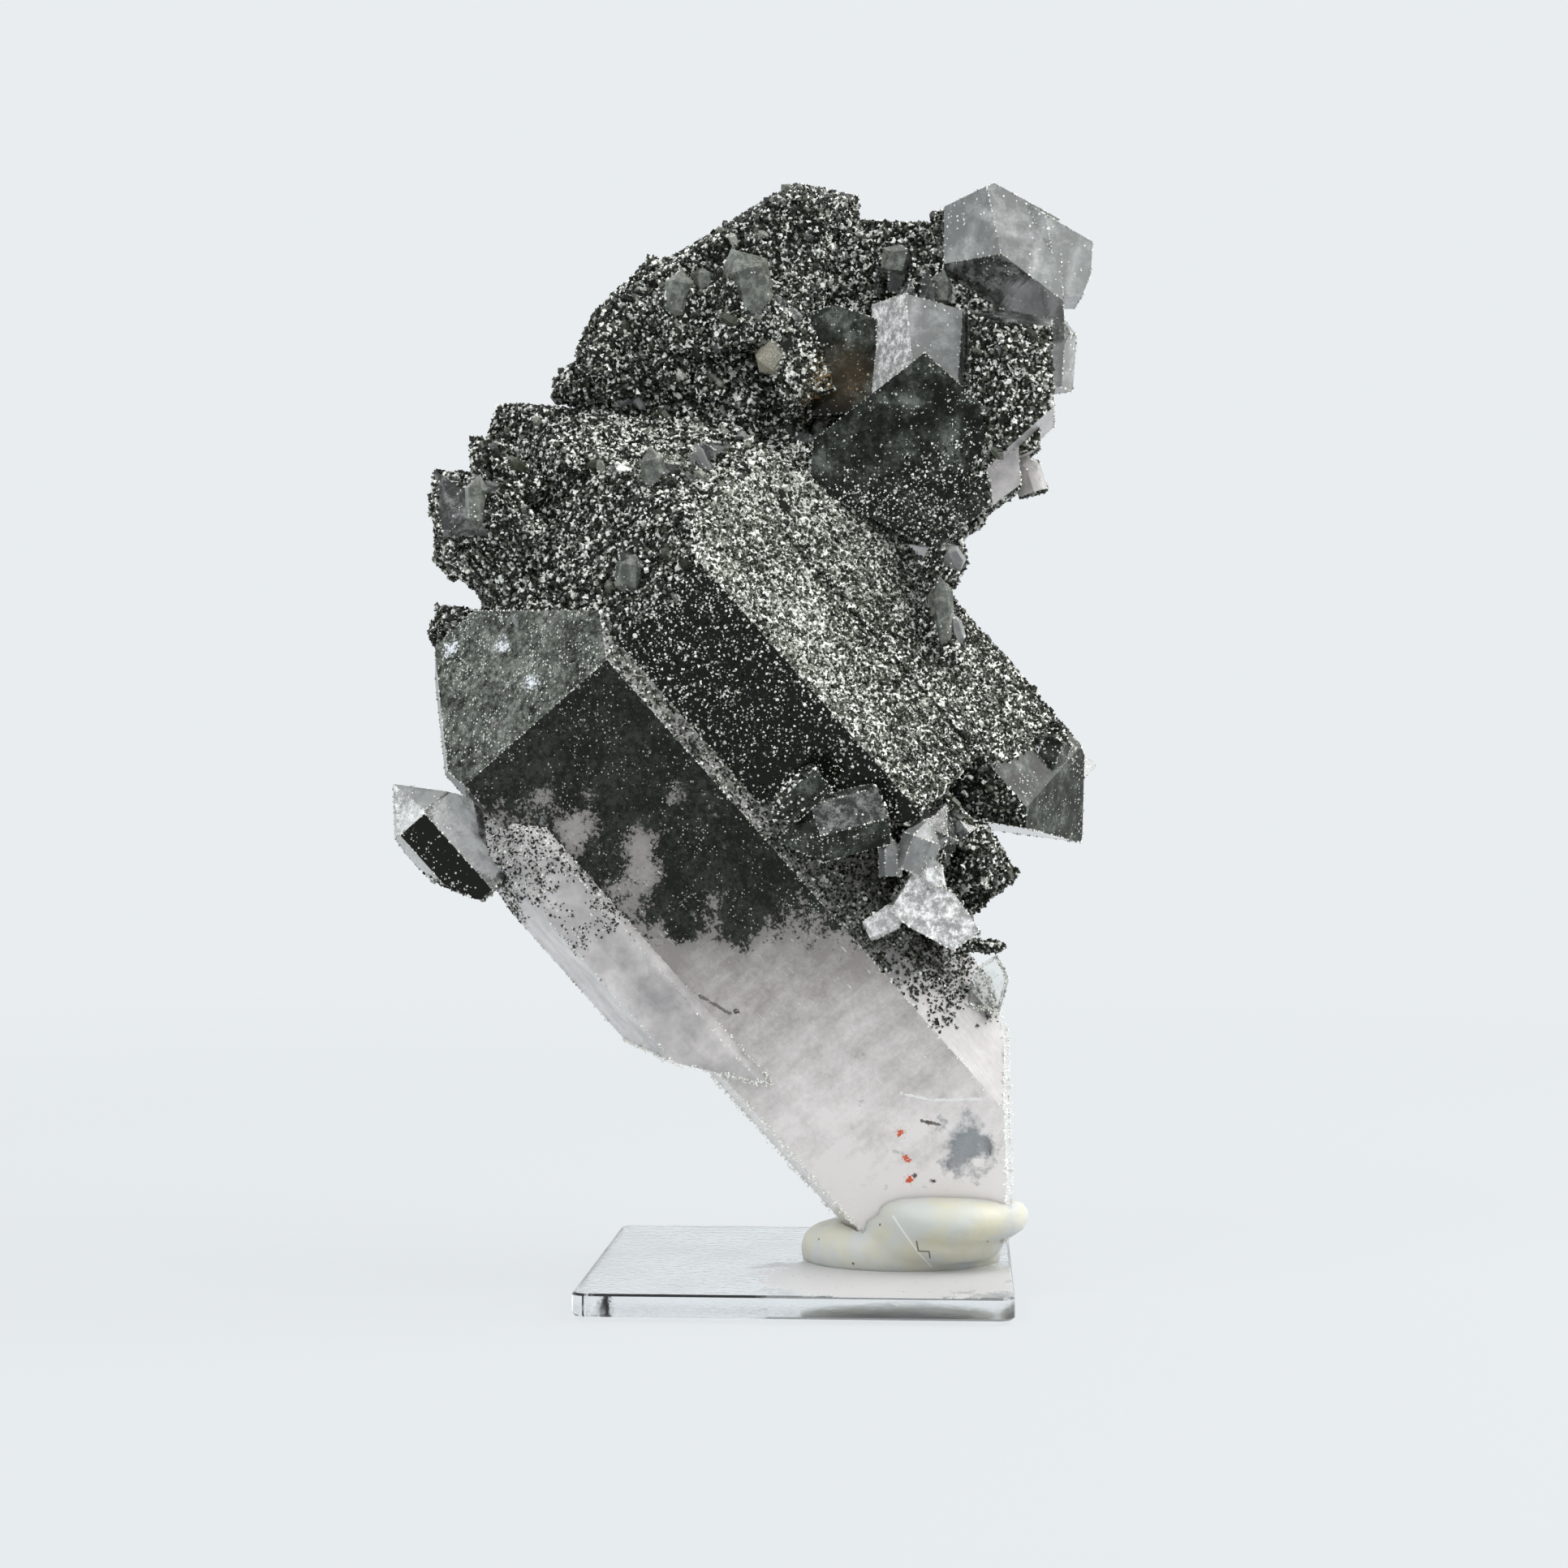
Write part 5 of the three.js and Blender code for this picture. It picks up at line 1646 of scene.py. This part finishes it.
sides = np.concatenate([faces[:, [0, 1]], faces[:, [1, 2]], faces[:, [2, 0]]])
side_face = np.tile(np.arange(len(faces)), 3)
by_ends = np.lexsort((sides.max(axis=1), sides.min(axis=1)))
sides, side_face = np.sort(sides, axis=1)[by_ends], side_face[by_ends]
paired = np.flatnonzero((sides[:-1] == sides[1:]).all(axis=1))
one, other = side_face[paired], side_face[paired + 1]
sharp = (flat_normals[one] * flat_normals[other]).sum(axis=1) < EDGE_COSINE
bare_both = (kind[one] != CRUST) & (kind[other] != CRUST)
edge_start, edge_end = viewer_corners[sides[paired[sharp & bare_both]]].transpose(1, 0, 2)
edge_length = np.linalg.norm(edge_end - edge_start, axis=1)
print(len(edge_length), "sharp edges,", edge_length.sum().round(), "mm in all")

# %% [markdown]
# Splinters are then drawn along those edges, as many as their length allows. The broken foot crumbles
# more: its edges get five times as many, and they stray a little from the edge.

# %% Nicked edges
CHIPS_PER_MM = 4.0
CHIP_SIZE_MM = (0.08, 0.26)
FOOT_TOP_MM = 26
FOOT_CRUMBLING = 5.0
FOOT_STRAY_MM = 0.13

in_foot = (edge_start[:, 2] < FOOT_TOP_MM) & (edge_end[:, 2] < FOOT_TOP_MM)
crumbly = edge_length * np.where(in_foot, FOOT_CRUMBLING, 1.0)
chips = int(crumbly.sum() * CHIPS_PER_MM)
edge = rng.choice(len(edge_length), chips, p=crumbly / crumbly.sum())
chip_middles = edge_start[edge] + (edge_end - edge_start)[edge] * rng.random((chips, 1))
low = chip_middles[:, 2] < FOOT_TOP_MM
chip_middles += rng.normal(0, FOOT_STRAY_MM, (chips, 3)) * low[:, None]
chip_sizes = rng.uniform(*CHIP_SIZE_MM, chips) ** 1.5 / CHIP_SIZE_MM[1] ** 0.5
# Painted highlight in part: the splinters' shades are pale, from 0.7 up, and paler on the crumbling foot.
chip_points, chip_triangles, values = joined(
    [SPLINTER], np.zeros(chips, int), np.arange(chips), random_turns(chips, rng), chip_sizes, chip_middles,
    {"shade": rng.uniform(0.7, 1.0, chips) + 0.2 * low, "stain": np.zeros(chips)},
)
piece = mesh_object("edge_chips", chip_points, chip_triangles, [grain], attributes=values)
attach(piece, "root")

# %% [markdown]
# ## Putty and stand
#
# The putty is soft and was pressed by hand. Its model is refined, relaxed until its creases are round,
# and dented by a smooth field, except where it touches the crystal or the stand. A subdivision surface
# would round it too, but it would also pull it off both of them.

# %% Mounting putty
PUTTY_EDGE_MM = 0.5
PUTTY_DENT_MM = 0.22
PUTTY_ROUNDS = 14


def relaxed(points, triangles, share, rounds):
    """Moves each corner toward the mean of its neighbours, again and again, by its share."""
    edges = np.concatenate([triangles[:, [0, 1]], triangles[:, [1, 2]], triangles[:, [2, 0]]])
    neighbours = np.bincount(edges[:, 0], minlength=len(points))[:, None]
    for _ in range(rounds):
        total = np.zeros_like(points)
        np.add.at(total, edges[:, 0], points[edges[:, 1]])
        points = points + (total / neighbours - points) * (0.6 * share)[:, None]
    return points


putty_corners, putty_faces = read_node("mounting_putty")
one_tag, one_limit = np.zeros(len(putty_faces), int), np.array([PUTTY_EDGE_MM * MM])
putty_points, putty_triangles, _ = refine(putty_corners, putty_faces, one_tag, one_limit)
putty_points = to_viewer(putty_points)
main_directions, main_distances = planes_of(MAIN, MAIN_CUTS)
clearance = (putty_points @ main_directions.T - main_distances).max(axis=1)
free = smooth_step(0.4, 1.4, clearance) * smooth_step(2.1, 2.8, putty_points[:, 2])
putty_points = relaxed(putty_points, putty_triangles, free, PUTTY_ROUNDS)
dents = PUTTY_DENT_MM * (rough_field(putty_points, 2.6, 91) + 0.1) * free
putty_points = putty_points + point_normals(putty_points, putty_triangles) * dents[:, None]
putty = mesh_object("mounting_putty_soft", from_viewer(putty_points), putty_triangles, [putty_finish])
putty.data.polygons.foreach_set("use_smooth", np.ones(len(putty_triangles), bool))
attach(putty, "root")
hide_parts("mounting_putty")

# %% [markdown]
# The stand is a plain square of clear acrylic. Its model is already exact, so it keeps its own mesh and
# only gets its finish.

# %% Acrylic stand
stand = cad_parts["acrylic_stand"]
for material_slot in stand.material_slots:
    material_slot.material = acrylic
if not stand.material_slots:
    stand.data.materials.append(acrylic)
print("the stand's finish:", stand.data.materials[0].name)

# %% [markdown]
# ## Studio
#
# A plain pale floor without a horizon: near the stand it takes soft shadows, and farther out it turns
# into the even tone of the background. A large soft light from the upper right, which the bright faces
# mirror, and a weaker one from the left.

# %% Floor and background
BACKGROUND = (0.813, 0.847, 0.871)
FLOOR_DROP_MM = 0.4
FLOOR_RADIUS = 8
FLOOR_NEAR = 0.10
FLOOR_FAR = 0.40
GLOW_NEAR = 0.85


def floor_material():
    """A mix of a lit surface and an even glow. The glow's share rises with the distance from the stand."""
    material, tree, shader = new_material("pale_floor")
    radius = add(tree, "VectorMath", {0: place(tree)}, operation="LENGTH").outputs["Value"]
    limits = {0: radius, 1: FLOOR_NEAR, 2: FLOOR_FAR, 3: GLOW_NEAR, 4: 1.0}
    share = add(tree, "MapRange", limits, interpolation_type="SMOOTHSTEP").outputs[0]
    shader.inputs["Base Color"].default_value = (0.42, 0.44, 0.45, 1)
    shader.inputs["Roughness"].default_value = 0.95
    shader.inputs["Specular IOR Level"].default_value = 0.1
    glow = add(tree, "Emission", {"Color": (*BACKGROUND, 1), "Strength": 1.0})
    blend = add(tree, "MixShader", {0: share, 1: shader.outputs[0], 2: glow.outputs[0]})
    tree.links.new(blend.outputs[0], tree.nodes["Material Output"].inputs["Surface"])
    return material


floor_place = (0, 0, -FLOOR_DROP_MM * MM)
bpy.ops.mesh.primitive_circle_add(vertices=96, radius=FLOOR_RADIUS, fill_type="NGON", location=floor_place)
floor = bpy.context.object
floor.name = "floor"
floor.data.materials.append(made(floor_material()))
floor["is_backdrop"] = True

# %% [markdown]
# A bare sun would give hard glints on every face. Square area lights near the cluster act as softboxes:
# their size sets how soft the shadows are, and smooth faces mirror them as even patches.

# %% Lights
LIGHT_TARGET = from_viewer(np.array([[-4.0, 0.0, 50.0]]))[0]


def softbox(name, direction, distance, width, watts, colour=(1, 1, 1)):
    """A square area light that faces the cluster from a viewer direction."""
    facing = turned(np.array([direction]))[0]
    facing /= np.linalg.norm(facing)
    light = bpy.data.lights.new(name, "AREA")
    light.shape = "SQUARE"
    light.size = width
    light.energy = watts
    light.color = colour
    lamp = bpy.data.objects.new(name, light)
    lamp.location = LIGHT_TARGET + facing * distance
    lamp.rotation_euler = Vector(facing).to_track_quat("Z", "Y").to_euler()
    bpy.context.scene.collection.objects.link(lamp)
    lamp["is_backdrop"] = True
    print(name, "stands at", tuple(round(value, 3) for value in lamp.location))


softbox("key", (0.75, -0.05, 0.66), 0.45, 0.40, 3.0, (1.0, 0.99, 0.97))
softbox("fill", (-0.55, -0.42, 0.72), 0.60, 0.28, 1.4, (0.98, 0.99, 1.0))

# %% [markdown]
# The pale tone all round fills the shadows and shows through the clear crystals. The Standard view keeps
# colours as they are mixed here, where a film-like view would dull the pale ones.

# %% World and view
world = bpy.data.worlds.new("studio")
world.use_nodes = True
world.node_tree.nodes["Background"].inputs["Color"].default_value = (*BACKGROUND, 1)
world.node_tree.nodes["Background"].inputs["Strength"].default_value = 1.0
bpy.context.scene.world = world
bpy.context.scene.view_settings.view_transform = "Standard"
print("background:", BACKGROUND)

# %% [markdown]
# The camera stands 26 centimetres away, level, and turned with the specimen. A wide lens would have to
# come closer and would stretch the near crystals, so it has a long one.

# %% Camera
CAMERA_PLACE = (0.01408, -0.25962, 0.0456)
LENS_MM = 65
SENSOR_MM = 36

camera_data = bpy.data.cameras.new("camera")
camera_data.lens = LENS_MM
camera_data.sensor_width = SENSOR_MM
camera_data.clip_start = 0.01
camera = bpy.data.objects.new("camera", camera_data)
camera.location = CAMERA_PLACE
camera.rotation_euler = (math.radians(90), 0, SPECIMEN_TURN)
bpy.context.scene.collection.objects.link(camera)
bpy.context.scene.camera = camera
print("angle of view:", round(math.degrees(camera_data.angle), 1), "degrees")

# %% [markdown]
# Both boxes, of the imported model and of the finished look, are printed. The finished look
# must keep to the size of the imported model.

# %% Sizes of the model and of the finished look
def plain(box):
    """A box's two corners as lists of plain numbers."""
    return [[float(value) for value in corner] for corner in box]


shown_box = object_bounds()
for label, box in (("model", cad_box), ("shown", shown_box)):
    print(label, [[round(value / MM, 2) for value in corner] for corner in plain(box)])
